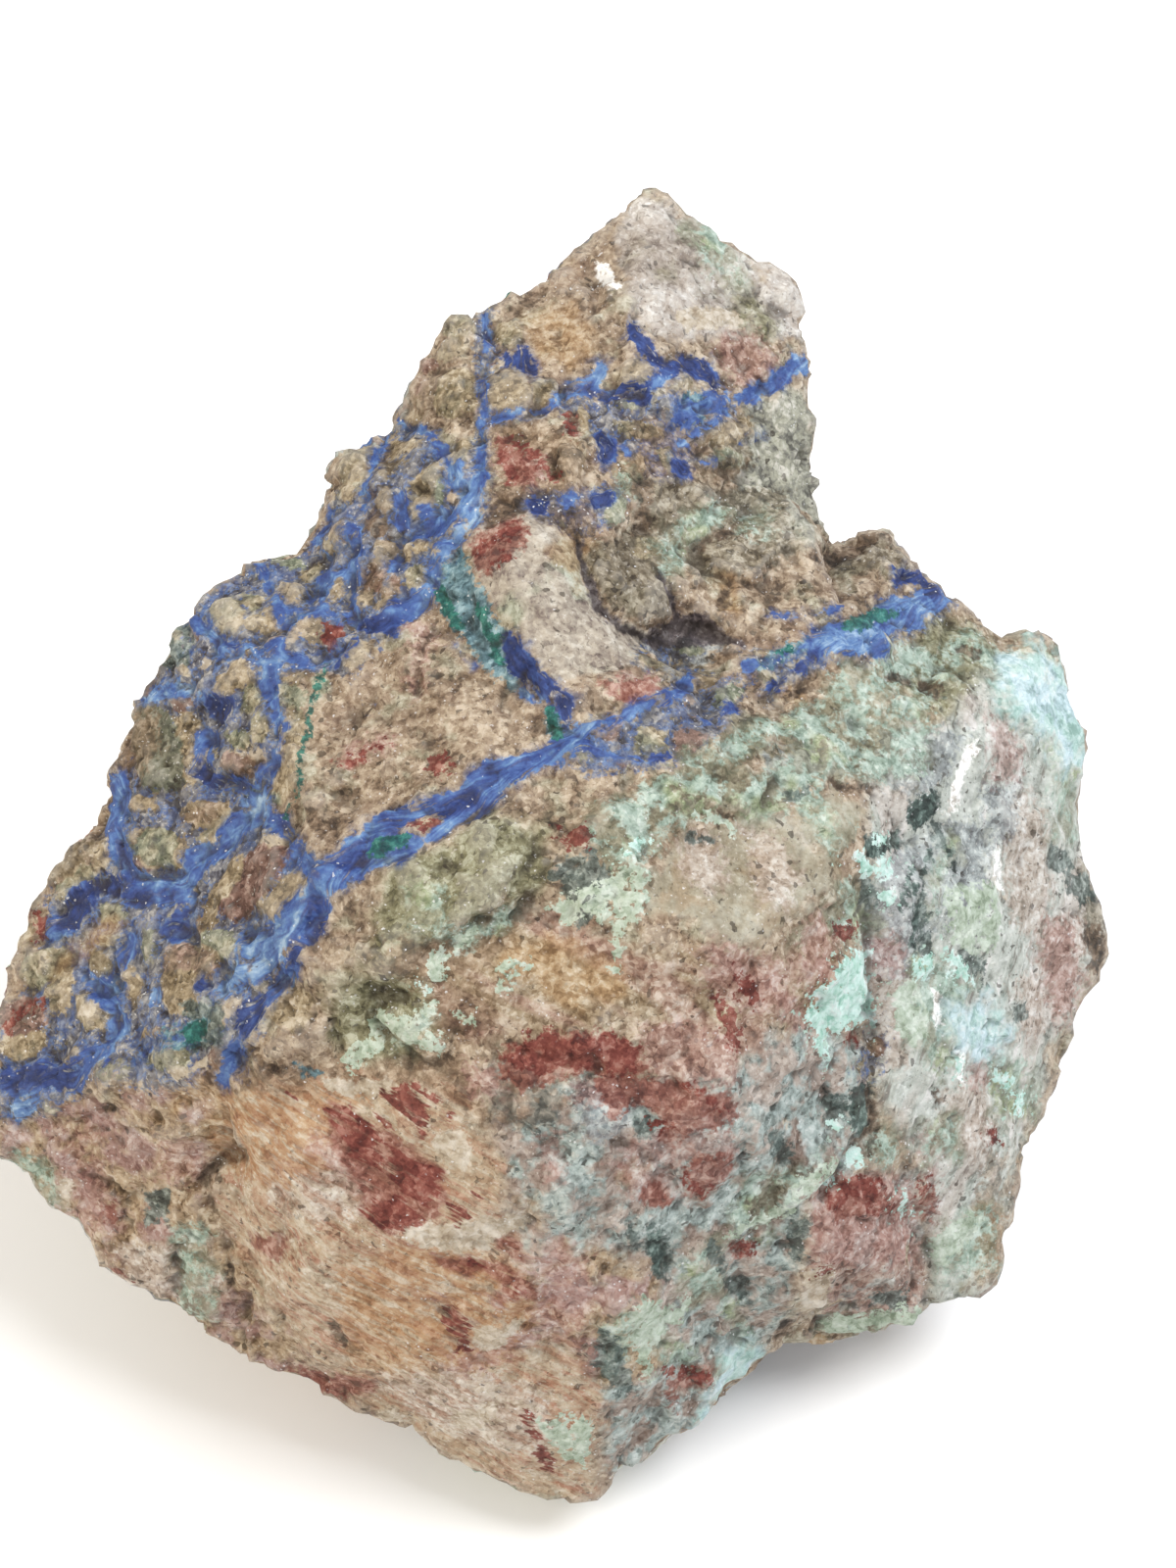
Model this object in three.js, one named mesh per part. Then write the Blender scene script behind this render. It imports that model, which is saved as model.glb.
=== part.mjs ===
// A hand-sized lump of broken copper ore: veined breccia on top, slickensided and stained rock in front,
// all grown and broken as one stone. Millimetres, +Z up. The origin is on the flat of the foot that the
// stone rests on. The side worth showing leans back, as the lump lies on a shelf in front of a viewer.
import * as THREE from "three";
import { ConvexHull } from "three/addons/math/ConvexHull.js";
import { ImprovedNoise } from "three/addons/math/ImprovedNoise.js";

// How the stone lies: the show side is drawn on a sheet that faces the viewer, and the sheet leans back.
const VIEW_ELEVATION = THREE.MathUtils.degToRad(52); // how far the sheet's normal rises above the table
const SHEET_HEIGHT = 35; // height of the sheet's middle above the table
const HEART = new THREE.Vector3(0, -8, 31); // middle of the stone, from which every corner can be seen

// Sizes of the broken surface.
const FINE_EDGE = 3.2; // longest facet edge on the show side
const COARSE_EDGE = 6.6; // longest facet edge on the back and under the stone
const ROUGHNESS = [
  { size: 14, height: 0.7 }, // waves of the big break faces
  { size: 6.5, height: 0.5 },
  { size: 3.4, height: 0.25 }, // crumbs along the edges
];
const CLAST_SIZE = 5.5; // typical clast in the veined breccia
const CLAST_HEIGHT = 0.9; // how far the clasts stand out of the veins between them

// Corners of the show side: [across, up, out] on the sheet.
const OUTLINE = [
  [6, 55, 2], // peak
  [12.5, 50.5, 2],
  [19.5, 47, 0], // shoulder of the upper block
  [20.5, 39, 3],
  [20, 33.5, 5],
  [20.5, 26.5, 5],
  [21.5, 21.5, 4], // notch
  [27.5, 23.5, 4], // horn beside the notch
  [29.5, 20.5, 5],
  [33, 16.5, 5], // where the long vein runs out
  [38, 13.5, 4],
  [43, 13.5, 3], // right shoulder
  [46.5, 5, 3],
  [46, -1.5, 2],
  [47, -9, 1],
  [49, -16, 0], // spur
  [44.5, -22, 2],
  [42.5, -29, 3],
  [39.5, -35.5, 4],
  [37, -45.5, 6], // right foot
  [33.5, -47.5, 7],
  [30.5, -45.5, 9], // nick between the two feet
  [30, -48.5, 8], // middle foot
  [24, -49, 8],
  [17, -49.5, 9],
  [12.5, -52.5, 11],
  [8.5, -56.5, 12],
  [0, -63.5, 13], // toe
  [-4, -63, 13],
  [-14, -59, 12],
  [-23, -53.5, 12],
  [-34.5, -47, 12],
  [-43, -42.5, 11],
  [-48.5, -36, 11],
  [-54, -30.5, 11], // left tip
  [-52.5, -21.5, 12],
  [-50, -12, 11],
  [-46.5, -7, 11],
  [-43, -4, 12],
  [-41, 3, 12],
  [-39, 10, 11],
  [-36, 15, 11],
  [-32, 18.5, 11],
  [-27, 20, 11],
  [-25, 21.5, 7], // foot of the upper block
  [-23.5, 25, 9],
  [-22, 30, 10],
  [-17.5, 33, 7],
  [-15.5, 37, 8],
  [-12.5, 42.5, 7],
  [-8.5, 43, 7],
  [-3.5, 46, 6],
  [-0.5, 49.5, 4],
];
const UPPER_FACE = [
  [4.5, 44, 9], // edge below the peak
  [14, 35.5, 9],
  [-3.5, 36.5, 12],
  [7.5, 29, 15],
  [17, 26.5, 9],
  [14.5, 18, 15],
  [4, 22, 18],
  [-1, 21, 22],
  [-6.5, 19, 23],
  [3, 9, 26], // foot of the pale slab
  [-11, 32, 13],
  [-17, 24, 15],
  [-22.5, 15, 18],
  [-13, 13, 22],
  [-32.5, 9.5, 16],
  [-24.5, 3.5, 24],
  [-37.5, -5, 16],
  [-43.5, -13.5, 15],
  [-33, -13, 22],
  [22, 13.5, 15],
  [36, 8, 11],
];
const CREST = [
  [16, 9, 20], // the long vein, from right to left
  [8, 4.5, 26],
  [-2.5, 2, 30],
  [-11.5, -3.5, 33],
  [-20.5, -7, 33],
  [-26, -15, 31],
  [-30, -23, 28],
  [-40.5, -25.5, 21],
];
const BEHIND = [
  [18, 44, -6], // just behind the outline, where the stone falls away from it
  [18.5, 33, -6],
  [21, 20, -8],
  [28, 18, -8],
  [38, 10, -7],
  [-15, 33, -2],
  [-13, 38, -3],
  [-23, 20.5, -3],
  [-30, 15, -2],
];
const FRONT = [
  [25, 5, 19],
  [14.5, 0, 26],
  [31, 0, 17],
  [4, -7, 33],
  [-13, -14, 34],
  [21, -5.5, 27], // head of the right ridge
  [11, -12.5, 33],
  [0, -20.5, 35],
  [-11.5, -25.5, 33],
  [-23.5, -26, 30],
  [-30.5, -32, 23],
  [-21.5, -38.5, 27],
  [-1.5, -32.5, 32],
  [11, -25, 31],
  [23, -18.5, 24],
  [24, -32.5, 20],
  [16.5, -35, 23],
  [3, -43.5, 25],
  [-10.5, -49.5, 22],
  [12, -44.5, 18],
  [34.5, -8.5, 14],
  [42, -14.5, 6],
  [30.5, -23.5, 17],
  [36, -33.5, 9],
  [26, -42, 14],
  [-41, -33, 16],
  [-31.5, -42.5, 16],
];

// Corners of the back and the foot: [x, y, z] as the stone stands. The foot's corners lie a little under
// the table, and the surface is planed off there, so that the stone rests on a true flat.
const BACK = [
  [10, 45, 51],
  [-11, 39, 44],
  [20, 37, 37],
  [30, 22, 36],
  [42, 8, 29],
  [47, -5, 21],
  [43, -22, 17],
  [31, -37, 9],
  [13, -46, 5],
  [-20, -46, 7],
  [-38, -34, 13],
  [-49, -19, 22],
  [-43, -3, 30],
  [-31, 14, 33],
  [-22, 27, 33],
  [-14, 36, 20],
  [7, 43, 22],
  [22, 31, 18],
  [38, 5, 13],
  [-30, 13, 14],
  [-40, -12, 13],
  [4, 37, 9],
];
const FOOT = [
  [2, -45, -0.6],
  [19, -38, -0.6],
  [31, -23, -0.6],
  [33, -5, -0.6],
  [24, 12, -0.6],
  [13, 29, -0.6],
  [-6, 27, -0.6],
  [-22, 9, -0.6],
  [-31, -10, -0.6],
  [-30, -25, -0.6],
  [-18, -36, -0.6],
  [0, 0, -3],
];

// Marks of the break on the show side, all as [across, up] on the sheet.
const HOLLOWS = [
  { at: [8.3, 13.3], radius: 3.8, depth: 2.6 }, // pocket under the upper block
  { at: [13, 26], radius: 6.5, depth: 1.4 },
  { at: [-31.8, -32.2], radius: 2.2, depth: 2.6 }, // pit at the head of the striated face
  { at: [27.5, -4.5], radius: 3.2, depth: 1.2 },
];
const LUMPS = [
  { at: [-2.9, 15.4], radius: 5.6, height: 1.4 }, // pale slab
  { at: [4, 17.2], radius: 2.6, height: 0.7 }, // brown lump in the pocket
  { at: [13, 17.5], radius: 3.8, height: 1.2 },
  { at: [5, -12], radius: 8, height: 1.0 }, // quartz swelling
  { at: [20.5, -41], radius: 6, height: 1.2 },
  { at: [34, -41], radius: 4, height: 0.8 },
];
const GROOVES = [
  { along: [[-0.8, 21.3], [0, 17.7], [2.3, 14.1], [5.1, 13.1], [11, 12.5]], width: 1.6, depth: 1.9 }, // edge of the pocket
  { along: [[-11.8, 17.5], [-7.5, 10.5], [-2.6, 3.4]], width: 1.8, depth: 1.0 }, // green vein
  { along: [[22.4, -7], [24.1, -16.5], [24.1, -30.5], [20.4, -34.4], [16, -38.5]], width: 1.7, depth: 1.6 },
  { along: [[-31, -27.5], [-31.8, -33], [-30, -39.5], [-29, -46]], width: 1.7, depth: 1.3 },
  { along: [[30.5, -46], [29.4, -39]], width: 1.6, depth: 2.0 }, // crack between the feet
];
const LEDGES = [
  // The ground on the left of the line, as it runs, stands higher by the ledge's height.
  { along: [[-19.6, -18.8], [-13.9, -14.4], [-7, -9.8], [-3.9, -5.6], [3.1, -4.2], [8.5, -2.9]], height: 1.5, reach: 6 },
  { along: [[0.5, 25], [6, 21.5], [12, 23], [18, 20.5]], height: 1.4, reach: 5 },
  { along: [[-22, 24], [-18, 14], [-14, 8.5]], height: 1.0, reach: 5 },
];

const noise = new ImprovedNoise();
const SHEET_UP = new THREE.Vector3(0, Math.sin(VIEW_ELEVATION), Math.cos(VIEW_ELEVATION));
const SHEET_OUT = new THREE.Vector3(0, -Math.cos(VIEW_ELEVATION), Math.sin(VIEW_ELEVATION));

function fromSheet([across, up, out]) {
  const point = new THREE.Vector3(across, 0, SHEET_HEIGHT);
  return point.addScaledVector(SHEET_UP, up).addScaledVector(SHEET_OUT, out);
}

function toSheet(point) {
  const above = point.clone().setZ(point.z - SHEET_HEIGHT);
  return { at: [point.x, above.dot(SHEET_UP)], out: above.dot(SHEET_OUT) };
}

// Stretches a skin of triangles over the corners, joined as they are seen from the heart.
function skinOver(corners) {
  const seen = corners.map((corner) => corner.clone().sub(HEART).normalize());
  const index = new Map(seen.map((direction, i) => [direction, i]));
  return new ConvexHull().setFromPoints(seen).faces.map(({ edge }) => {
    const ends = [edge, edge.next, edge.prev].map((e) => index.get(e.head().point));
    return ends;
  });
}

function longestEdgeAt(point) {
  const { out } = toSheet(point);
  return THREE.MathUtils.mapLinear(THREE.MathUtils.smoothstep(out, -6, 6), 0, 1, COARSE_EDGE, FINE_EDGE);
}

// Halves every edge that is too long, on both of its triangles alike, until none is.
function refine(points, faces) {
  const middles = new Map();
  const middleOf = (a, b) => {
    const key = a < b ? `${a} ${b}` : `${b} ${a}`;
    if (!middles.has(key)) {
      const middle = points[a].clone().lerp(points[b], 0.5);
      const tooLong = points[a].distanceTo(points[b]) > longestEdgeAt(middle);
      middles.set(key, tooLong ? points.push(middle) - 1 : -1);
    }
    return middles.get(key);
  };
  const finer = faces.flatMap(([a, b, c]) => {
    const [ab, bc, ca] = [middleOf(a, b), middleOf(b, c), middleOf(c, a)];
    const split = [ab, bc, ca].filter((m) => m >= 0).length;
    if (split === 0) return [[a, b, c]];
    if (split === 3) return [[a, ab, ca], [ab, b, bc], [ca, bc, c], [ab, bc, ca]];
    if (split === 1) {
      if (ab >= 0) return [[a, ab, c], [ab, b, c]];
      if (bc >= 0) return [[a, b, bc], [a, bc, c]];
      return [[a, b, ca], [ca, b, c]];
    }
    if (ca < 0) return [[ab, b, bc], [a, ab, bc], [a, bc, c]];
    if (ab < 0) return [[bc, c, ca], [a, b, bc], [a, bc, ca]];
    return [[a, ab, ca], [ab, b, c], [ab, c, ca]];
  });
  return finer.length === faces.length ? faces : refine(points, finer);
}

// Distance from a sheet position to a line of [across, up] points, and on which side of it the position lies.
function fromLine(at, line) {
  const here = new THREE.Vector2(...at);
  let nearest = { distance: Infinity, side: 0 };
  for (let i = 1; i < line.length; i++) {
    const start = new THREE.Vector2(...line[i - 1]);
    const run = new THREE.Vector2(...line[i]).sub(start);
    const away = here.clone().sub(start);
    const share = THREE.MathUtils.clamp(away.dot(run) / run.lengthSq(), 0, 1);
    const side = Math.sign(run.cross(away));
    const distance = away.addScaledVector(run, -share).length();
    if (distance < nearest.distance) nearest = { distance, side };
  }
  return nearest;
}

const bell = (distance, radius) => Math.exp(-((distance / radius) ** 2));

// Height of the rounded clasts: 0 in the seams between them, 1 on their crowns.
function clasts(point) {
  const cell = point.clone().divideScalar(CLAST_SIZE).floor();
  let [nearest, second] = [Infinity, Infinity];
  for (let i = -1; i <= 1; i++)
    for (let j = -1; j <= 1; j++)
      for (let k = -1; k <= 1; k++) {
        const corner = cell.clone().add(new THREE.Vector3(i, j, k));
        const jitter = [3.7, 17.3, 31.9].map((s) => 0.5 + noise.noise(corner.x * 0.73 + s, corner.y * 0.61, corner.z * 0.67));
        const seed = corner.add(new THREE.Vector3(...jitter)).multiplyScalar(CLAST_SIZE);
        const distance = seed.distanceTo(point);
        if (distance < nearest) [nearest, second] = [distance, nearest];
        else if (distance < second) second = distance;
      }
  return THREE.MathUtils.smoothstep((second - nearest) / CLAST_SIZE, 0, 0.6);
}

// How far the broken surface stands out from its flat skin at a point.
function relief(point) {
  const { at, out } = toSheet(point);
  const shown = THREE.MathUtils.smoothstep(out, 0, 8);
  let height = 0;
  for (const { size, height: amount } of ROUGHNESS)
    height += amount * 2 * noise.noise(point.x / size + 5.3, point.y / size + 1.7, point.z / size + 9.1);
  // The veined breccia is the left of the upper face, above the long vein.
  const veined = 1 - THREE.MathUtils.smoothstep(at[0] + 0.35 * at[1], -16, -2);
  const aboveVein = THREE.MathUtils.smoothstep(at[1] - 0.55 * at[0], -11, -6);
  height += CLAST_HEIGHT * (clasts(point) - 0.5) * veined * aboveVein * shown;
  for (const { at: middle, radius, depth } of HOLLOWS)
    height -= depth * shown * bell(Math.hypot(at[0] - middle[0], at[1] - middle[1]), radius);
  for (const { at: middle, radius, height: rise } of LUMPS)
    height += rise * shown * bell(Math.hypot(at[0] - middle[0], at[1] - middle[1]), radius);
  for (const { along, width, depth } of GROOVES)
    height -= depth * shown * bell(fromLine(at, along).distance, width);
  for (const { along, height: rise, reach } of LEDGES) {
    const { distance, side } = fromLine(at, along);
    const upper = THREE.MathUtils.smoothstep(side * distance, -1.4, 1.4);
    height += rise * shown * upper * bell(distance, reach);
  }
  return height;
}

function stoneGeometry() {
  const drawn = [...OUTLINE, ...BEHIND, ...UPPER_FACE, ...CREST, ...FRONT].map(fromSheet);
  const standing = [...BACK, ...FOOT].map((corner) => new THREE.Vector3(...corner));
  const points = [...drawn, ...standing];
  const faces = refine(points, skinOver(points));
  const broken = points.map((point) => {
    const outward = point.clone().sub(HEART).normalize();
    const moved = point.clone().addScaledVector(outward, relief(point));
    return moved.setZ(Math.max(moved.z, 0));
  });
  const geometry = new THREE.BufferGeometry().setFromPoints(broken);
  geometry.setIndex(faces.flat());
  geometry.computeVertexNormals();
  return geometry;
}

const rock = new THREE.MeshStandardMaterial({ color: 0x9a8470, roughness: 0.85, metalness: 0 });
const stone = new THREE.Mesh(stoneGeometry(), rock);
stone.name = "azurite_malachite_stone";

const specimen = new THREE.Group();
specimen.add(stone);

export default specimen;
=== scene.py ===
import math
import bpy
import numpy as np
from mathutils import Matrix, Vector, noise
from mathutils.bvhtree import BVHTree


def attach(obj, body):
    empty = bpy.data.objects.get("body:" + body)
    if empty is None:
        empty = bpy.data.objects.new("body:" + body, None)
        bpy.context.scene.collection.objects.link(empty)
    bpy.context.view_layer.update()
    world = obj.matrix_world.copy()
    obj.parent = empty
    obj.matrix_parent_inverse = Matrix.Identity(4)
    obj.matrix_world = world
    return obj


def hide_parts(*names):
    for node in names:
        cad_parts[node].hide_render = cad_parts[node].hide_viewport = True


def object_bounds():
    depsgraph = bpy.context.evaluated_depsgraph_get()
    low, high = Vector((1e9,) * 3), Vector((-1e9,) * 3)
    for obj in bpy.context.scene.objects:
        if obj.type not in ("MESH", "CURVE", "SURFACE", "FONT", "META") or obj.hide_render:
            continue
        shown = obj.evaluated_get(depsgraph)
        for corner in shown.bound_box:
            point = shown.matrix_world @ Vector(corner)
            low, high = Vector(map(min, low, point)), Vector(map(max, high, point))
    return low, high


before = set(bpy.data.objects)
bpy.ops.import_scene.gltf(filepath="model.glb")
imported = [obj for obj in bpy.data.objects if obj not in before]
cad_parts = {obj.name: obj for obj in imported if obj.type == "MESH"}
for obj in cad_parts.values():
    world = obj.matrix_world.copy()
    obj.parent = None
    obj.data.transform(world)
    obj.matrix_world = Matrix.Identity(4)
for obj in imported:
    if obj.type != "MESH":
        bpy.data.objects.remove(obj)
cad_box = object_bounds()
bpy.ops.object.select_all(action="DESELECT")

# ------------------------------------------------------------------------------------------------
# THE STONE: BROKEN SURFACE
# One lump of veined breccia, about 104 mm wide, 103 mm deep and 71 mm high, broken on every side.
# Its coarse form is the solid's; the faces are split finer here and the small relief is cut into them.
# ------------------------------------------------------------------------------------------------
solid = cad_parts["azurite_malachite_stone"]
stone = bpy.data.objects.new("stone", solid.data.copy())
bpy.context.scene.collection.objects.link(stone)
stone.data.materials.clear()
bpy.context.view_layer.objects.active = stone
stone.select_set(True)
bpy.ops.mesh.customdata_custom_splitnormals_clear()
bpy.ops.object.mode_set(mode="EDIT")
bpy.ops.mesh.select_all(action="SELECT")
bpy.ops.mesh.remove_doubles(threshold=1e-5)
bpy.ops.mesh.subdivide(number_cuts=3)
bpy.ops.mesh.vertices_smooth(factor=0.5, repeat=4)
bpy.ops.object.mode_set(mode="OBJECT")

count = len(stone.data.vertices)
flat = np.empty(count * 3, np.float32)
stone.data.vertices.foreach_get("co", flat)
skin = flat.reshape(-1, 3).astype(float) * 1000  # millimetres
stone.data.vertices.foreach_get("normal", flat)
outward = flat.reshape(-1, 3).astype(float)
stone.data.calc_loop_triangles()
corners = np.empty(len(stone.data.loop_triangles) * 3, np.int32)
stone.data.loop_triangles.foreach_get("vertices", corners)
surface = BVHTree.FromPolygons(skin.tolist(), corners.reshape(-1, 3).tolist())

# The show view: marks are placed as they are seen from here, in pixels of a 1200 by 1600 frame, and
# belong to the skin that is seen there.
FRAME_WIDTH, FRAME_HEIGHT, LENS, SENSOR = 1200, 1600, 50.0, 36.0
FOCAL = LENS / SENSOR * FRAME_HEIGHT
LEAN = math.radians(52)
DISTANCE = 205.0
aim = np.array([0.0, 0.0, 35.0])
sheet_up = np.array([0.0, math.sin(LEAN), math.cos(LEAN)])
sheet_out = np.array([0.0, -math.cos(LEAN), math.sin(LEAN)])
eye = aim + DISTANCE * sheet_out
PIXELS_PER_MM = FOCAL / DISTANCE


def step(low, high, value):
    share = np.clip((value - low) / (high - low), 0, 1)
    return share * share * (3 - 2 * share)


def waves(size, shift=0.0, detail=0):
    """Smooth noise in [-1, 1] over the skin, with waves of that many millimetres."""
    at = [Vector(p) / size + Vector((shift, 0, 0)) for p in skin]
    if detail:
        return np.array([noise.fractal(p, 1.0, 2.0, detail) for p in at])
    return np.array([noise.noise(p) for p in at])


depth = (eye - skin) @ sheet_out
seen_at = np.stack([FRAME_WIDTH / 2 + FOCAL * skin[:, 0] / depth,
                    FRAME_HEIGHT / 2 - FOCAL * ((skin - eye) @ sheet_up) / depth], 1)
facing = ((eye - skin) * outward).sum(1) / np.linalg.norm(eye - skin, axis=1)
behind = np.array([1.0 if f > 0 and surface.ray_cast(Vector(p + 0.4 * n), Vector(eye - p))[0] else 0.0
                   for f, p, n in zip(facing, skin, outward)])
unseen = np.maximum(1 - step(-0.05, 0.2, facing), behind)

# The marks' own edges wander, so the places are slightly displaced before they are compared.
noise.seed_set(5)  # noise_vector starts from the clock otherwise
for size, reach in ((3.4, 3.2), (1.2, 2.6)):
    swirl = np.array([noise.noise_vector(Vector(p) / size + Vector((7, 3, 1))) for p in skin])
    seen_at += reach * swirl[:, :2]


FAR = 30.0  # millimetres, where no mark is near
OFF_VIEW = 8  # millimetres added on skin that the show view doesn't reach
REACH = 90  # pixels round a mark within which it is measured


def marks(lines=(), patches=()):
    """Millimetres from each place to the nearest mark's edge; below 0 inside it.
    A line is its half width in millimetres and then its points; a patch is the points round it."""
    nearest = np.full(count, FAR)
    strokes = [(half_width, True, points) for half_width, *points in lines]
    for half_width, is_open, points in strokes + [(0, False, points) for points in patches]:
        points = np.array(points, float).reshape(-1, 2)
        close = ((seen_at > points.min(0) - REACH) & (seen_at < points.max(0) + REACH)).all(1).nonzero()[0]
        near = seen_at[close]
        best = np.full(len(close), np.inf)
        within = np.zeros(len(close), bool)
        runs = list(zip(points, np.roll(points, -1, 0)))
        for start, end in runs[:-1] if is_open and len(points) > 1 else runs:
            run = end - start
            share = np.clip((near - start) @ run / max(run @ run, 1e-9), 0, 1)
            best = np.minimum(best, np.linalg.norm(near - start - share[:, None] * run, axis=1))
            if not is_open:
                crosses = (start[1] > near[:, 1]) != (end[1] > near[:, 1])
                crossing = start[0] + (near[:, 1] - start[1]) * run[0] / (run[1] or 1e-9)
                within ^= crosses & (near[:, 0] < crossing)
        best = np.where(within, -best, best) / PIXELS_PER_MM - half_width
        nearest[close] = np.minimum(nearest[close], best)
    return nearest + OFF_VIEW * unseen


# Pieces of rock that the veins run round: middle, half length, half width, turn in degrees, then how
# red (0 grey green, 0.5 tan, 1 red brown) and how light (-1 to 1) each is.
rock_pieces = [
    # upper block, left
    (470, 335, 17, 17, 0, .3, .2), (463, 361, 17, 8, 20, .35, .3), (477, 352, 9, 5, 20, .4, .8),
    (438, 372, 10, 8, 0, .8, -.1), (432, 405, 11, 26, 0, .65, .1), (469, 405, 21, 25, 0, .35, -.1),
    (427, 425, 9, 10, 0, .55, .2), (473, 468, 9, 20, 0, .3, .1), (480, 430, 9, 6, 0, .4, -.7),
    (417, 462, 18, 7, 15, .45, .2), (411, 479, 12, 6, 10, .4, -.5), (436, 503, 14, 32, -20, .35, .2),
    (451, 508, 6, 14, -10, .1, -.2), (473, 524, 6, 9, 0, .4, .3), (463, 539, 10, 7, 30, .45, .3),
    (433, 557, 8, 8, 0, .5, 0), (452, 563, 7, 10, 0, .5, .1), (415, 565, 7, 9, 0, .5, .2),
    (429, 592, 10, 14, 0, .25, -.1), (401, 461, 10, 12, 0, .45, -.1), (393, 483, 8, 12, 0, .5, -.5),
    (396, 514, 10, 12, 0, .6, -.4), (389, 540, 10, 11, 0, .6, -.8), (395, 566, 12, 12, 0, .6, .3),
    (388, 590, 12, 18, -10, .75, 0), (372, 592, 4, 18, 8, .7, -.9), (374, 613, 9, 9, 0, .5, .3),
    (402, 600, 11, 12, 0, .7, -.1), (398, 622, 12, 9, 0, .55, .1), (368, 440, 13, 11, 0, .05, .1),
    (375, 459, 9, 10, 0, .35, .1), (361, 482, 12, 17, -10, .3, .2), (358, 505, 10, 9, 0, .4, .3),
    (398, 440, 11, 9, 0, .5, .1), (352, 545, 9, 8, 0, .7, -.1), (341, 560, 8, 6, 0, .3, -.2),
    (520, 405, 24, 21, 10, .4, .3), (557, 402, 12, 12, 0, .35, 0), (520, 345, 14, 14, 0, .3, -.2),
    (583, 470, 13, 26, 0, .35, .2), (597, 430, 7, 16, 0, .4, .2), (583, 434, 7, 17, 0, 1, -.4),
    (545, 478, 16, 18, 0, .8, -.2), (522, 440, 12, 9, 0, .7, 0), (645, 385, 19, 11, 15, .45, .3),
    (694, 394, 13, 8, 20, .3, -.1), (650, 442, 24, 10, 0, .3, -.1), (745, 440, 26, 11, 20, .45, 0),
    (640, 480, 18, 14, 0, .5, .1), (710, 450, 12, 8, 30, .6, -.5), (735, 470, 22, 12, 0, .15, -.3),
    (625, 520, 10, 18, 0, .1, .1), (660, 560, 16, 14, 0, .3, .1),
    # left end of the block
    (322, 588, 15, 10, 30, .3, .1), (296, 609, 13, 10, -20, .4, .4), (343, 607, 10, 11, 0, .55, .1),
    (329, 618, 8, 7, 0, .35, .2), (346, 590, 8, 8, 0, .5, 0), (236, 634, 15, 17, 0, .25, .4),
    (261, 618, 12, 9, 0, .25, -.1), (263, 639, 14, 9, 0, .35, .2), (284, 634, 9, 12, 0, .6, -.1),
    (319, 648, 17, 14, -10, .6, .3), (343, 652, 9, 14, -20, .97, -.1), (284, 660, 9, 9, 0, .8, -.2),
    (297, 657, 5, 8, -20, .6, .7), (251, 688, 14, 12, 0, .4, .3), (236, 702, 12, 11, 0, .4, 0),
    (211, 679, 6, 8, -30, .5, .9), (262, 711, 12, 11, 0, .25, -.1), (306, 695, 12, 6, 0, .45, -.2),
    (302, 714, 15, 11, 0, .2, .1), (328, 699, 7, 9, 0, .15, 0), (300, 748, 12, 24, -8, .35, .1),
    (295, 795, 11, 26, -25, .4, .1), (283, 812, 9, 9, 0, .2, -.1), (255, 781, 22, 14, 0, .75, -.2),
    (266, 768, 12, 5, 0, .6, .9), (262, 779, 16, 2, 0, .8, -1), (215, 831, 24, 14, 15, .65, .1),
    (233, 840, 16, 14, 35, .3, .3), (219, 853, 15, 8, 20, .25, .2), (163, 866, 30, 20, 0, .2, -.1),
    (146, 860, 9, 12, 0, .6, .4), (149, 880, 12, 9, -20, .95, -.1), (190, 868, 7, 15, -30, .45, .2),
    (166, 765, 26, 46, 10, .12, -.6), (196, 765, 12, 42, 5, .4, .1), (192, 719, 11, 8, 0, 1, -.5),
    (150, 822, 15, 8, 0, .6, .2), (268, 898, 18, 52, -32, .86, -.25), (286, 862, 15, 10, 20, .5, .5),
    (240, 905, 10, 34, -32, .45, .1), (296, 915, 13, 30, -50, .4, .3), (223, 936, 9, 18, -10, .5, .1),
    (212, 946, 6, 10, 0, .7, -.1), (227, 965, 20, 14, 0, .12, .25), (198, 982, 28, 18, -10, .72, .2),
    (190, 1012, 21, 26, 0, .5, 0), (140, 1005, 9, 22, 8, .45, .2), (98, 1035, 15, 20, 10, .3, .2),
    (66, 1012, 13, 26, -12, .35, .2), (26, 1040, 24, 20, 30, .85, .2), (26, 1066, 22, 14, 20, .38, 0),
    (176, 1080, 19, 13, 10, .2, .1), (190, 1092, 11, 4, 20, .3, 1), (239, 1028, 14, 10, 20, .4, .8),
    (228, 1042, 9, 8, 0, .6, .2), (157, 965, 7, 19, 0, .15, -.4), (109, 870, 9, 22, -16, .4, .2),
    (70, 882, 36, 11, 36, .5, -.5), (82, 900, 24, 10, 36, .25, 0), (33, 935, 9, 38, -12, .5, 0),
    (50, 988, 26, 18, 30, .25, .1), (300, 975, 13, 20, -30, .6, -.2), (300, 1030, 24, 22, 0, .55, .1),
    (120, 935, 14, 10, 0, .2, .1), (78, 1080, 14, 8, 30, .5, -.1), (225, 1080, 10, 14, 0, .8, -.6),
    (170, 668, 8, 20, -20, .7, -.7), (155, 697, 9, 14, -20, .85, -.6), (200, 608, 30, 10, 34, .1, -.2),
    (292, 575, 22, 8, -10, .1, 0), (183, 650, 9, 12, 20, .2, -.3), (250, 755, 12, 10, 0, .2, -.1),
    (215, 770, 9, 8, 0, .3, 0), (268, 742, 8, 14, 0, .25, 0), (258, 722, 9, 8, 0, .25, 0),
    (330, 895, 5, 6, 0, .3, .2),
]


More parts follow.
